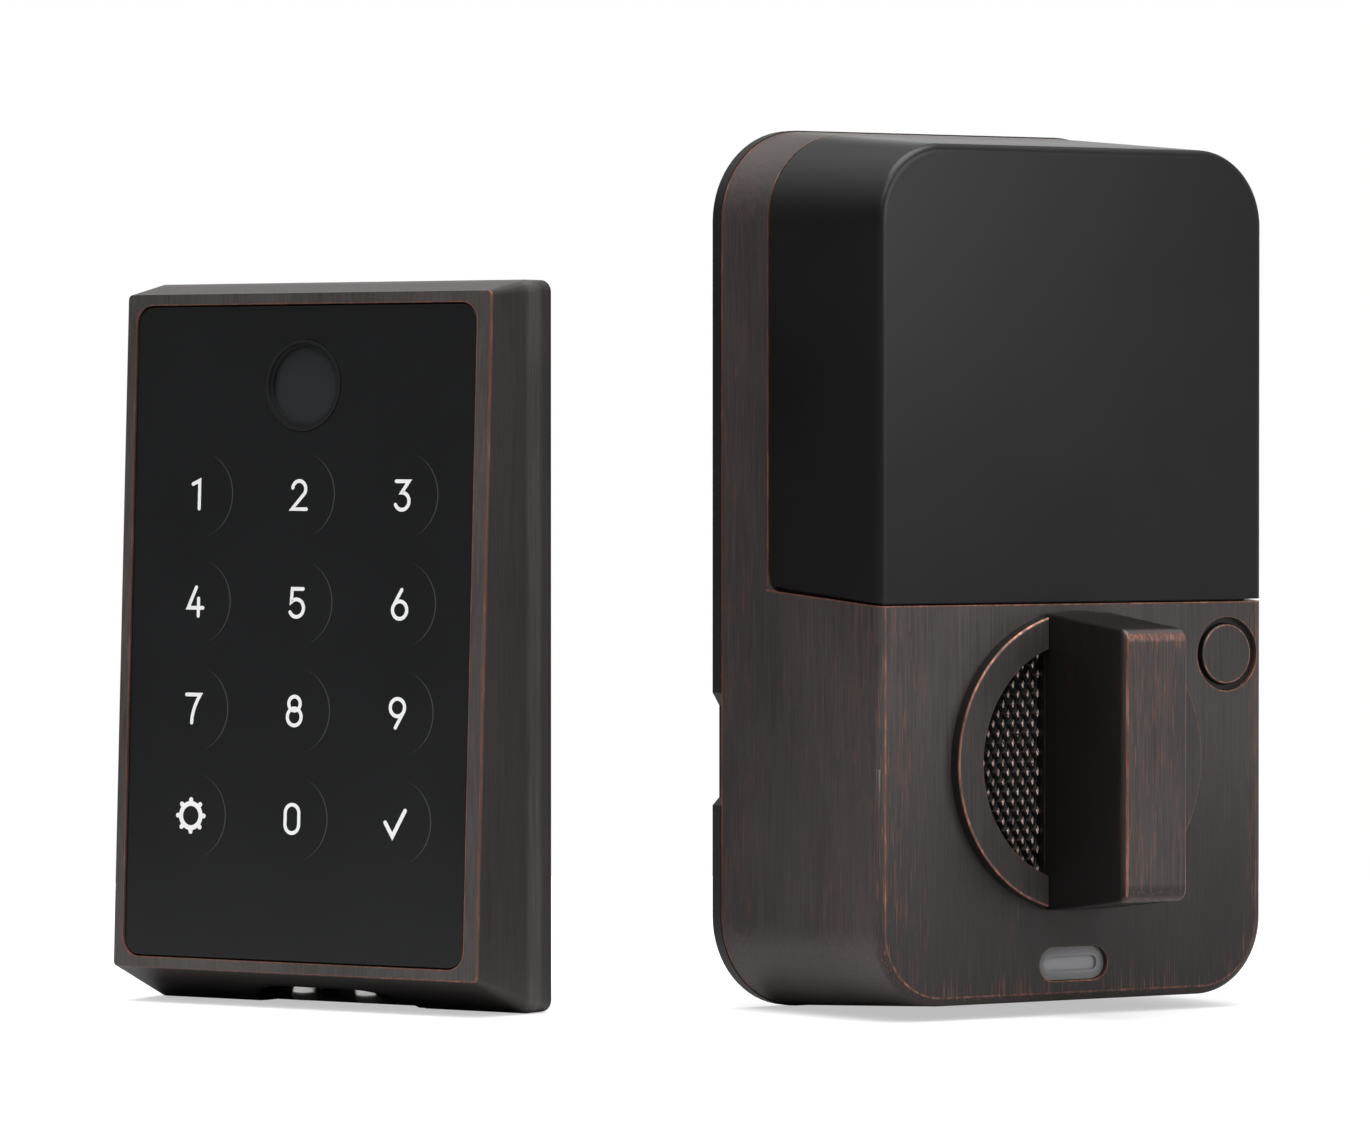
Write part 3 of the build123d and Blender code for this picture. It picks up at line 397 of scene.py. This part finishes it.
MATS = {}
MATS["interior_housing"] = bronze("bronze_housing", wear_housing, hairs_housing, painted_shade_housing, 0.95, 1.20)
MATS["thumbturn_disc"] = bronze("bronze_disc", wear_disc, None, painted_shade_disc, 0.35, 0.95)
MATS["thumbturn_grip"] = bronze("bronze_grip", wear_grip, hairs_grip, painted_shade_grip, 1.0, 1.08, 0.36)
MATS["privacy_button"] = bronze("bronze_button", wear_button, None, painted_shade_button, 0.25, 0.9)
MATS["keypad_housing"] = bronze("bronze_keypad", wear_keypad, None, painted_shade_keypad, 0.3, 1.65)
cover_m = plastic("cover_satin_black", (0.0060, 0.0060, 0.0064), 0.33, 2.4, 0.005, 0.34, 0.12)
black_m = plastic("moulded_black", (0.010, 0.010, 0.0105), 0.5, 3.0, 0.012)
steel_black = plastic("black_powder_coat", (0.010, 0.010, 0.0103), 0.42, 5.0, 0.020, 0.35)
zinc = metal("zinc_plated_steel", (0.60, 0.60, 0.60), 0.30, (0.7, 0.7, 0.7), 0.25)
nickel = metal("nickel_contact", (0.78, 0.765, 0.75), 0.22, (1.2, 1.2, 1.2), 0.2)
brass_m = metal("machined_brass", (0.70, 0.50, 0.23), 0.28, (2.0, 0.3, 2.0), 0.2)
nylon = plastic("gear_nylon", (0.62, 0.60, 0.55), 0.45, 2.0, 0.006, 0.5, 0.08)
rubber_m = plastic("gasket_foam", (0.016, 0.016, 0.016), 0.85, 4.0, 0.06, 0.3)
chip_m = plastic("chip_resin", (0.014, 0.014, 0.015), 0.55, 6.0, 0.01)
milky = plastic("milky_diffuser", (0.72, 0.72, 0.70), 0.5, 1.5, 0.005, 0.5, 0.05)
for k in ("battery_cover",):
    MATS[k] = cover_m
for k in ("battery_tray", "button_sleeve", "contact_block", "cable_socket_interior", "cable_socket_keypad", "tact_switch"):
    MATS[k] = black_m
for k in ("mounting_plate", "keypad_back_cover"):
    MATS[k] = steel_black
for k in ("gearbox_plate", "gearbox_cover", "gearbox_spacers", "housing_screws", "gearbox_screws", "keypad_screws",
          "thumbturn_screws", "threaded_posts", "drive_pin", "idler_axle", "spindle", "motor"):
    MATS[k] = zinc
for k in ("battery_terminals",):
    MATS[k] = nickel
for k in ("motor_pinion", "spindle_bushings"):
    MATS[k] = brass_m
for k in ("drive_gear", "reduction_gear"):
    MATS[k] = nylon
for k in ("glass_gasket", "door_gasket"):
    MATS[k] = rubber_m
for k in ("board_components", "keypad_components"):
    MATS[k] = chip_m
for k in ("light_guide", "status_leds"):
    MATS[k] = milky
MATS["glass_panel"] = plastic("glass_satin_black", (0.0088, 0.0092, 0.0100), 0.30, 6.0, 0.0012, 0.42, 0.06)
MATS["fingerprint_sensor"] = plastic("sensor_face", (0.0205, 0.0230, 0.0255), 0.34, 9.0, 0.002, 0.5, 0.06)
MATS["fingerprint_ring"] = plastic("sensor_ring", (0.012, 0.0122, 0.0128), 0.30, 6.0, 0.002, 0.55, 0.06)


def lens_material():
    """Smoked diffusing lens, paler in the shallow pill in its face."""
    g = G("smoked_lens")
    n = g.noise((1.2, 1.2, 1.2), 2.0, 0.5, 4.0)
    d = g.sdf(g.x, g.z, 0.0, -32.5, 5.2, 1.2, 1.2)
    pill = d.step(0.75, -0.75)
    # soft makes the lens lighter towards its right as a painted light gradient, with random tone from n.
    soft = g.x.step(-7.0, 3.0) * 0.25 + n * 0.15
    g.set("Base Color", g.mix((pill * 0.75 + soft).sat(), (0.120, 0.120, 0.125), (0.30, 0.30, 0.312)))
    g.set("Roughness", (n - 0.5) * 0.1 + 0.36)
    g.set("Coat Weight", 0.25)
    g.set("Coat Roughness", 0.15)
    g.bump(n, 0.004, 0.4)
    return g.m


def board_material():
    g = G("circuit_board_green")
    vor = g.nt.nodes.new("ShaderNodeTexVoronoi")
    vor.inputs["Scale"].default_value = 0.55
    vor.distance = "CHEBYCHEV"
    g.nt.links.new(g.p, vor.inputs["Vector"])
    cell = V(g, vor.outputs["Distance"])
    tracks = cell.band(0.62, 0.03, 0.05)
    n = g.noise((0.3, 0.3, 0.3), 2.0, 0.5, 1.0)
    base = g.mix(n.step(0.3, 0.7), (0.006, 0.040, 0.016), (0.010, 0.058, 0.024))
    g.set("Base Color", g.mix(tracks, base, (0.03, 0.12, 0.05)))
    g.set("Roughness", (n - 0.5) * 0.15 + 0.32)
    g.bump(tracks, 0.02, 0.5)
    return g.m


def cell_material():
    g = G("cell_wrap")
    z = g.z
    n = g.noise((0.5, 0.5, 0.1), 2.0, 0.5, 1.0)
    cap = z.step(74.0, 74.3)
    base = g.mix(cap, g.mix(n.step(0.3, 0.7), (0.018, 0.019, 0.021), (0.028, 0.029, 0.032)), (0.50, 0.24, 0.10))
    ends = (z - 61.85).abs().step(24.3, 24.5)
    g.set("Base Color", g.mix(ends, base, (0.62, 0.62, 0.61)))
    g.set("Metallic", (cap * 0.5).max(ends))
    g.set("Roughness", (n - 0.5) * 0.1 + 0.28)
    g.bump(n, 0.01, 0.3)
    return g.m


MATS["status_lens"] = lens_material()
pcb = board_material()
for k in ("main_circuit_board", "switch_circuit_board", "touch_circuit_board"):
    MATS[k] = pcb
MATS["aa_cells"] = cell_material()


def paint(obj, mat):
    obj.data.materials.clear()
    obj.data.materials.append(mat)


for name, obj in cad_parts.items():
    if name in MATS:
        obj.material_slots[0].material = MATS[name] if obj.material_slots else None
        for s in obj.material_slots:
            s.material = MATS[name]


# ------------------------------------------------------------------ new pieces
def new_mesh(name, bm, mat, body, smooth=False):
    me = bpy.data.meshes.new(name)
    bm.to_mesh(me)
    bm.free()
    o = bpy.data.objects.new(name, me)
    scene.collection.objects.link(o)
    me.materials.append(mat)
    if smooth:
        me.shade_smooth()
    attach(o, body)
    return o


def mesh_of(obj):
    """Mesh of a curve or modified object, as bmesh; the object is removed."""
    bpy.context.view_layer.update()
    dg = bpy.context.evaluated_depsgraph_get()
    me = bpy.data.meshes.new_from_object(obj.evaluated_get(dg))
    bm = bmesh.new()
    bm.from_mesh(me)
    bpy.data.objects.remove(obj, do_unlink=True)
    bpy.data.meshes.remove(me)
    return bm


# ---- knurled floor of the thumb-turn: diamond pyramids with pale tips, partly copper wear, partly painted glint
def knurl_material():
    g = G("knurl_bronze")
    h = (g.y * -1.0 - 42.28)                      # height above the floor
    n = g.noise((1.6, 1.6, 1.6), 2.0, 0.5, 3.0)
    # Pale tips: partly rubbed-through copper, partly a painted glint standing in for highlights.
    tip_wear_and_glint = h.step(0.56, 0.70) * n.step(0.25, 0.6)
    g.set("Base Color", g.mix(tip_wear_and_glint, (0.0055, 0.0050, 0.0048), (0.80, 0.60, 0.52)))
    g.set("Metallic", tip_wear_and_glint * 0.5 + 0.2)
    g.set("Roughness", (n - 0.5) * 0.1 + 0.42 - tip_wear_and_glint * 0.12)
    g.set("Specular IOR Level", 0.22)
    g.bump(g.noise((5, 5, 5), 2.0, 0.5, 4.0), 0.01, 0.4)
    return g.m


def knurl():
    pw, ph, floor_y, hh = 1.93, 3.12, -42.28, 0.72
    bm = bmesh.new()
    grid = {}

    def vert(x, y, z):
        k = (round(x, 4), round(y, 4), round(z, 4))
        if k not in grid:
            grid[k] = bm.verts.new(Vector(k) * MM)
        return grid[k]

    rmax = 19.2
    cells = []
    n = 14
    for i in range(-n, n + 1):
        for j in range(-n, n + 1):
            cx, cz = (i + j) * pw / 2, (i - j) * ph / 2
            if math.hypot(cx, cz) > rmax + 2.2:
                continue
            cells.append((cx, cz))
    for cx, cz in cells:
        c = [(cx - pw / 2, cz), (cx, cz - ph / 2), (cx + pw / 2, cz), (cx, cz + ph / 2)]
        t = [(cx + (x - cx) * 0.16, cz + (z - cz) * 0.34) for x, z in c]
        lo = [vert(x, floor_y, z) for x, z in c]
        hi = [vert(x, floor_y - hh, z) for x, z in t]
        for k in range(4):
            bm.faces.new((lo[k], lo[(k + 1) % 4], hi[(k + 1) % 4], hi[k]))
        bm.faces.new(hi)
    # a flat back makes it a closed plate
    edges = [e for e in bm.edges if e.is_boundary]
    r = bmesh.ops.extrude_edge_only(bm, edges=edges)
    vs = [v for v in r["geom"] if isinstance(v, bmesh.types.BMVert)]
    for v in vs:
        v.co.y = -42.26 * MM
    bmesh.ops.contextual_create(bm, geom=[e for e in bm.edges if e.is_boundary])
    bmesh.ops.recalc_face_normals(bm, faces=bm.faces)
    me = bpy.data.meshes.new("knurl_field")
    bm.to_mesh(me)
    bm.free()
    field = bpy.data.objects.new("knurl_field", me)
    scene.collection.objects.link(field)
    # trim to the round recess and to the grip that stands in it
    cut = bmesh.new()
    for sgn in (-1, 1):
        pts = []
        a0 = math.acos(6.56 / 19.24)
        for k in range(49):
            a = -a0 + 2 * a0 * k / 48
            pts.append((sgn * 19.24 * math.cos(a), 19.24 * math.sin(a)))
        vs = [cut.verts.new(Vector((x, -44.0, z)) * MM) for x, z in pts]
        f = cut.faces.new(vs)
        ex = bmesh.ops.extrude_face_region(cut, geom=[f])
        for v in ex["geom"]:
            if isinstance(v, bmesh.types.BMVert):
                v.co.y = -42.265 * MM
    bmesh.ops.recalc_face_normals(cut, faces=cut.faces)
    cm = bpy.data.meshes.new("knurl_trim")
    cut.to_mesh(cm)
    cut.free()
    trim = bpy.data.objects.new("knurl_trim", cm)
    scene.collection.objects.link(trim)
    b = field.modifiers.new("trim", "BOOLEAN")
    b.operation, b.object, b.solver = "INTERSECT", trim, "EXACT"
    bm = mesh_of(field)
    bpy.data.objects.remove(trim, do_unlink=True)
    o = new_mesh("knurled_floor", bm, knurl_material(), "thumbturn")
    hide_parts("knurled_insert")


knurl()


# ---- key legends, drawn as strokes of an even width
def arc(cx, cz, r, a0, a1, rz=None, n=28):
    rz = r if rz is None else rz
    return [(cx + r * math.cos(math.radians(a0 + (a1 - a0) * k / n)),
             cz + rz * math.sin(math.radians(a0 + (a1 - a0) * k / n))) for k in range(n + 1)]


STROKES = {
    "1": [[(-1.05, 1.72), (0.28, 2.30), (0.28, -2.30)]],
    "2": [arc(-0.02, 0.98, 1.30, 172, -36) + [(-1.40, -2.28), (1.48, -2.28)]],
    "3": [[(-1.20, 2.28), (1.28, 2.28), (-0.10, 0.46)] + arc(-0.02, -0.92, 1.38, 92, -156)],
    "4": [[(0.10, 2.34), (-1.50, -1.02), (1.50, -1.02)], [(0.58, 0.50), (0.58, -2.34)]],
    "5": [[(1.22, 2.28), (-0.94, 2.28), (-1.08, 0.16)] + arc(-0.06, -0.84, 1.42, 134, -152)],
    "6": [arc(0.0, -0.92, 1.40, 0, 360), [(-1.24, -0.28), (0.34, 2.34)]],
    "7": [[(-1.40, 2.28), (1.36, 2.28)] + [(1.36 - 1.62 * math.sin(math.radians(a)) ** 0.9, 2.28 - 4.60 * (a / 90)) for a in (18, 36, 54, 72, 90)]],
    "8": [arc(0.0, 1.18, 1.14, 0, 360), arc(0.0, -0.98, 1.38, 0, 360)],
    "9": [arc(0.0, 0.92, 1.40, 0, 360), [(1.24, 0.28), (-0.34, -2.34)]],
    "0": [[(1.36, -0.90), (1.36, 0.90)] + arc(0, 0.94, 1.36, 4, 176, n=20) + [(-1.36, 0.90), (-1.36, -0.90)]
          + arc(0, -0.94, 1.36, 184, 356, n=20) + [(1.36, -0.90)]],
    "check": [[(-1.90, -0.10), (-0.45, -2.30), (1.95, 1.90)]],
    "gear": [arc(0, 0, 1.98, 0, 360, n=48)]
            + [[(2.05 * math.cos(a), 2.05 * math.sin(a)), (2.62 * math.cos(a), 2.62 * math.sin(a))]
               for a in (math.radians(45 * k) for k in range(8))],
}
KEYS = [("1", -1, 0), ("2", 0, 0), ("3", 1, 0), ("4", -1, 1), ("5", 0, 1), ("6", 1, 1),
        ("7", -1, 2), ("8", 0, 2), ("9", 1, 2), ("gear", -1, 3), ("0", 0, 3), ("check", 1, 3)]
ROWS = (32.8, 50.3, 67.8, 85.3)
KEY_X = -0.9


def stroke_ribbon(bm, pts, u0, v0, width, h):
    """A flat stroke with round ends along pts, on the keypad's front."""
    closed = math.dist(pts[0], pts[-1]) < 1e-6
    if closed:
        pts = pts[:-1]
    n = len(pts)
    left, right = [], []
    for i, p in enumerate(pts):
        a = pts[i - 1] if (i > 0 or closed) else None
        b = pts[(i + 1) % n] if (i < n - 1 or closed) else None
        d1 = Vector((p[0] - a[0], p[1] - a[1])).normalized() if a else None
        d2 = Vector((b[0] - p[0], b[1] - p[1])).normalized() if b else None
        d1, d2 = d1 or d2, d2 or d1
        t = (d1 + d2).normalized()
        nrm = Vector((-t.y, t.x))
        k = width / 2 / max(nrm.dot(Vector((-d1.y, d1.x))), 0.45)
        left.append((p[0] + nrm.x * k, p[1] + nrm.y * k))
        right.append((p[0] - nrm.x * k, p[1] - nrm.y * k))
    top = [bm.verts.new(kf(u0 + x, v0 + z, h)) for x, z in left]
    bot = [bm.verts.new(kf(u0 + x, v0 + z, h)) for x, z in right]
    for i in range(n if closed else n - 1):
        j = (i + 1) % n
        bm.faces.new((bot[i], bot[j], top[j], top[i]))
    if not closed:
        for end, other, sgn in ((0, 1, 1), (n - 1, n - 2, -1)):
            p, q = pts[end], pts[other]
            a0 = math.atan2(p[1] - q[1], p[0] - q[0])
            fan = [top[end]] + [bm.verts.new(kf(u0 + p[0] + width / 2 * 0.98 * math.cos(a0 + math.radians(s)),
                                                v0 + p[1] + width / 2 * 0.98 * math.sin(a0 + math.radians(s)), h))
                                for s in ((-60, -30, 0, 30, 60) if sgn > 0 else (60, 30, 0, -30, -60))] + [bot[end]]
            try:
                bm.faces.new(fan)
            except ValueError:
                pass


def legend_material():
    g = G("legend_white_glowing")
    n = g.noise((3, 3, 3), 2.0, 0.5, 1.0)
    g.set("Base Color", g.mix(n.step(0.3, 0.7), (0.80, 0.80, 0.805), (0.86, 0.86, 0.865)))
    g.set("Roughness", (n - 0.5) * 0.1 + 0.42)
    # The emission is painted light: it makes the white print glow.
    g.set("Emission Color", (0.75, 0.75, 0.76))
    g.set("Emission Strength", 0.12)
    return g.m


GLASS_H = -0.28          # front of the glass, behind the bezel face
LEG = legend_material()


def film(strokes, u0, v0, width):
    """Strokes as one closed film a few hundredths thick, crossing strokes joined."""
    whole = None
    for k, pts in enumerate(strokes):
        bm = bmesh.new()
        stroke_ribbon(bm, pts, u0, v0, width, GLASS_H - 0.030)
        bmesh.ops.recalc_face_normals(bm, faces=bm.faces)
        r = bmesh.ops.extrude_face_region(bm, geom=list(bm.faces))
        for v in r["geom"]:
            if isinstance(v, bmesh.types.BMVert):
                v.co += F_N * 0.050 * MM
        bmesh.ops.recalc_face_normals(bm, faces=bm.faces)
        for v in bm.verts:
            v.co = v.co * 1000.0
        me = bpy.data.meshes.new("stroke")
        bm.to_mesh(me)
        bm.free()
        o = bpy.data.objects.new("stroke", me)
        scene.collection.objects.link(o)
        if whole is None:
            whole = o
            continue
        mod = whole.modifiers.new("join", "BOOLEAN")
        mod.operation, mod.object, mod.solver = "UNION", o, "EXACT"
        bm = mesh_of(whole)
        me = bpy.data.meshes.new("stroke")
        bm.to_mesh(me)
        bm.free()
        bpy.data.objects.remove(o, do_unlink=True)
        whole = bpy.data.objects.new("stroke", me)
        scene.collection.objects.link(whole)
    bm = mesh_of(whole)
    for v in bm.verts:
        v.co = v.co * 0.001
    return bm


for key, cx, row in KEYS:
    bm = film(STROKES[key], KEY_X + cx * 20.4, KP_FH - ROWS[row], {"gear": 0.80, "check": 0.70}.get(key, 0.61))
    new_mesh("legend_" + key, bm, LEG, "keypad_unit")


def rim_highlight_material():
    """Painted highlight on each key dimple's rim, shown only towards its right-hand side."""
    g = G("key_rim_painted_highlight")
    u = g.along(F_O, RIGHT) - KEY_X
    v = g.along(F_O, F_UP)
    n = g.noise((2, 2, 2), 2.0, 0.5, 1.0)
    cell_u = (u + 30.6).op("MODULO", 20.4) - 10.2
    rim_highlight_mask = cell_u.step(1.0, 6.2)
    g.set("Base Color", g.mix(rim_highlight_mask * (n * 0.3 + 0.7), (0.0100, 0.0104, 0.0112), (0.060, 0.060, 0.063)) )
    g.set("Roughness", (n - 0.5) * 0.1 + 0.36)
    g.set("Specular IOR Level", 0.5)
    return g.m


RIM_HIGHLIGHT_M = rim_highlight_material()
# thin rings in the glass, one per key, carry the painted rim highlight
for key, cx, row in KEYS:
    u0, v0 = KEY_X + cx * 20.4, KP_FH - ROWS[row]
    bm = bmesh.new()
    a0, a1, n = -76, 76, 48
    rows_ = []
    for k in range(n + 1):
        t = k / n
        a = math.radians(a0 + (a1 - a0) * t)
        hw = 0.012 + 0.085 * math.sin(math.pi * t)
        rows_.append([bm.verts.new(kf(u0 + r * math.cos(a), v0 + r * math.sin(a), h))
                      for r, h in ((7.0 - hw, GLASS_H - 0.02), (7.0 - hw, GLASS_H + 0.012), (7.0 + hw, GLASS_H + 0.012), (7.0 + hw, GLASS_H - 0.02))])
    for p, q in zip(rows_, rows_[1:]):
        for i in range(4):
            bm.faces.new((p[i], p[(i + 1) % 4], q[(i + 1) % 4], q[i]))
    bm.faces.new(rows_[0])
    bm.faces.new(rows_[-1])
    bmesh.ops.recalc_face_normals(bm, faces=bm.faces)
    new_mesh("key_outline_" + key, bm, RIM_HIGHLIGHT_M, "keypad_unit")

# ---- coil springs where the frame holds plain solids
def coil(name, centre, axis_dir, r0, r1, length, turns, wire, mat, body):
    """A helical wire from centre along axis_dir, radius r0 to r1; all mm."""
    c = bpy.data.curves.new(name, "CURVE")
    c.dimensions = "3D"
    c.bevel_depth = wire / 2 * MM
    c.bevel_resolution = 3
    c.use_fill_caps = True
    s = c.splines.new("POLY")
    n = int(turns * 24)
    s.points.add(n)
    ax = Vector(axis_dir).normalized()
    e1 = ax.orthogonal().normalized()
    e2 = ax.cross(e1)
    for i in range(n + 1):
        t = i / n
        a = 2 * math.pi * turns * t
        # closed end turns, as a ground spring has
        tt = min(max((t * turns - 0.8) / (turns - 1.6), 0.0), 1.0)
        r = r0 + (r1 - r0) * t
        lift = wire / 2 + (length - wire) * tt
        p = Vector(centre) + ax * lift + (e1 * math.cos(a) + e2 * math.sin(a)) * (r - wire / 2)
        s.points[i].co = (*(p * MM), 1.0)
    o = bpy.data.objects.new(name + "_path", c)
    scene.collection.objects.link(o)
    bm = mesh_of(o)
    return new_mesh(name, bm, mat, body, smooth=True)


sp = coil("button_coil", (30.7, -37.25, 16.7), (0, -1, 0), 3.4, 3.4, 2.5, 5.0, 0.35, nickel, "interior_unit")
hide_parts("button_spring")
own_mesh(sp)

CELLS = [-22.8, -7.6, 7.6, 22.8]
contact_parts = []
for k, cx in enumerate(CELLS):
    spring_top = k % 2 == 0
    for top in (True, False):
        zz = 92.7 if top else 32.2
        s = -1 if top else 1
        tag = f"{k + 1}_{'top' if top else 'low'}"
        bm = bmesh.new()
        bmesh.ops.create_cube(bm, size=1.0)
        for v in bm.verts:
            v.co = Vector((cx + v.co.x * 12.4, -30.1 + v.co.y * 10.8, zz + s * 0.25 + v.co.z * 0.5)) * MM
        bmesh.ops.bevel(bm, geom=[e for e in bm.edges if abs((e.verts[0].co - e.verts[1].co).z) > 1e-5],
                        offset=1.4 * MM, segments=4, affect="EDGES")
        contact_parts.append(new_mesh("contact_plate_" + tag, bm, nickel, "interior_unit"))
        if top == spring_top:
            ln = 5.6 if top else 4.4
            contact_parts.append(coil("contact_coil_" + tag, (cx, -30.1, zz + s * 0.5), (0, 0, s), 4.6, 2.6, ln, 4.0, 0.7,
                                      nickel, "interior_unit"))
        else:
            bm = bmesh.new()
            end = 87.75 if top else 35.95
            prof = [(0, end), (2.0, end), (2.9, end - s * 0.5), (3.3, zz + s * 1.2), (4.6, zz + s * 0.5)]
            rings = []
            for r, z in prof:
                rings.append([bm.verts.new(Vector((cx + r * math.cos(2 * math.pi * i / 28), -30.1 + r * math.sin(2 * math.pi * i / 28), z)) * MM)
                              for i in range(28)] if r else [bm.verts.new(Vector((cx, -30.1, z)) * MM)])
            for i in range(28):
                bm.faces.new((rings[0][0], rings[1][i], rings[1][(i + 1) % 28]))
            for a, b in zip(rings[1:], rings[2:]):
                for i in range(28):
                    bm.faces.new((a[i], b[i], b[(i + 1) % 28], a[(i + 1) % 28]))
            bm.faces.new(rings[-1])
            bmesh.ops.recalc_face_normals(bm, faces=bm.faces)
            contact_parts.append(new_mesh("contact_dome_" + tag, bm, nickel, "interior_unit", smooth=True))
for o in contact_parts:
    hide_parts("battery_contacts")

# ------------------------------------------------------------------ floor, lights, camera
FLOOR_Z = -40.8
bm = bmesh.new()
bmesh.ops.create_circle(bm, cap_ends=True, segments=96, radius=0.38)
for v in bm.verts:
    v.co += Vector((-0.03, -0.01, (FLOOR_Z - 0.02) * MM))
me = bpy.data.meshes.new("floor")
bm.to_mesh(me)
bm.free()
floor = bpy.data.objects.new("floor", me)
scene.collection.objects.link(floor)
fg = G("floor_white")
fn = fg.noise((0.01, 0.01, 0.01), 2.0, 0.5, 1.0)
fg.set("Base Color", fg.mix(fn, (0.52, 0.52, 0.52), (0.54, 0.54, 0.54)))
fg.set("Roughness", 0.75)
fg.set("Specular IOR Level", 0.2)
fg.set("Emission Color", (1.0, 1.0, 1.0))
fg.set("Emission Strength", 0.50)
grey = fg.nt.nodes.new("ShaderNodeBsdfDiffuse")
grey.inputs[0].default_value = (0.50, 0.50, 0.50, 1)
flp = fg.nt.nodes.new("ShaderNodeLightPath")
fmx = fg.nt.nodes.new("ShaderNodeMixShader")
fg.nt.links.new(flp.outputs["Is Camera Ray"], fmx.inputs[0])
fg.nt.links.new(grey.outputs[0], fmx.inputs[1])
fg.nt.links.new(fg.b.outputs[0], fmx.inputs[2])
fg.nt.links.new(fmx.outputs[0], fg.out.inputs[0])
me.materials.append(fg.m)

world = bpy.data.worlds.new("studio")
scene.world = world
world.use_nodes = True
wn, wl = world.node_tree.nodes, world.node_tree.links
wn.clear()
wout = wn.new("ShaderNodeOutputWorld")


class W:
    nt = world.node_tree


def wdot(direction):
    d = wn.new("ShaderNodeVectorMath")
    d.operation = "DOT_PRODUCT"
    d.inputs[1].default_value = Vector(direction).normalized()
    wl.new(wtc.outputs["Generated"], d.inputs[0])
    return V(W, d.outputs["Value"])


W.v = staticmethod(lambda x: x)
wtc = wn.new("ShaderNodeTexCoord")
# a softbox to the right front, a broad top, and a dim room to the left
glow = wdot((0.60, -0.78, 0.12)).step(0.45, 0.98) * 0.32
glow = glow + wdot((-0.2, 0.1, 1.0)).step(0.35, 0.95) * 0.95
glow = glow + wdot((1.0, 0.1, 0.1)).step(0.5, 1.0) * 0.28
glow = glow + wdot((0.545, 0.839, 0.06)).step(0.90, 0.985) * 0.9
glow = glow + 0.10
light_bg = wn.new("ShaderNodeBackground")
light_bg.inputs[0].default_value = (1, 1, 1, 1)
wl.new(glow.s, light_bg.inputs["Strength"])
seen_bg = wn.new("ShaderNodeBackground")
seen_bg.inputs[0].default_value = (1, 1, 1, 1)
seen_bg.inputs[1].default_value = 1.0
lp = wn.new("ShaderNodeLightPath")
mixs = wn.new("ShaderNodeMixShader")
wl.new(lp.outputs["Is Camera Ray"], mixs.inputs[0])
wl.new(light_bg.outputs[0], mixs.inputs[1])
wl.new(seen_bg.outputs[0], mixs.inputs[2])
wl.new(mixs.outputs[0], wout.inputs[0])


def area(name, loc, target, size, power, size_y=None):
    l = bpy.data.lights.new(name, "AREA")
    l.shape = "RECTANGLE"
    l.size, l.size_y = size, size_y or size
    l.energy = power
    o = bpy.data.objects.new(name, l)
    o.location = loc
    o.rotation_euler = (Vector(target) - Vector(loc)).to_track_quat("-Z", "Y").to_euler()
    scene.collection.objects.link(o)
    return o


area("key_top_left", (-0.55, -0.75, 0.75), (-0.01, -0.03, 0.05), 0.55, 3.2)
area("near_softbox", (0.060, -0.335, 0.175), (-0.03, -0.045, 0.075), 0.22, 0.42)
sun = bpy.data.lights.new("top_soft", "SUN")
sun.energy, sun.angle = 2.9, math.radians(55)
so = bpy.data.objects.new("top_soft", sun)
so.rotation_euler = (math.radians(4), math.radians(-6), 0)
scene.collection.objects.link(so)

scene.view_settings.view_transform = "Standard"
scene.view_settings.look = "None"

cam = bpy.data.cameras.new("camera")
cam.sensor_fit = "HORIZONTAL"
cam.sensor_width = 36.0
cam.lens = 7500.0 / 1370.0 * 36.0
cam.clip_start, cam.clip_end = 0.05, 20.0
co = bpy.data.objects.new("camera", cam)
scene.collection.objects.link(co)
pitch, az = math.radians(0.97), math.radians(33.0)
look = Vector((math.sin(az) * math.cos(pitch), math.cos(az) * math.cos(pitch), -math.sin(pitch)))
co.location = Vector((-0.7067, -1.0172, 0.0503))
co.rotation_euler = look.to_track_quat("-Z", "Y").to_euler()
scene.camera = co
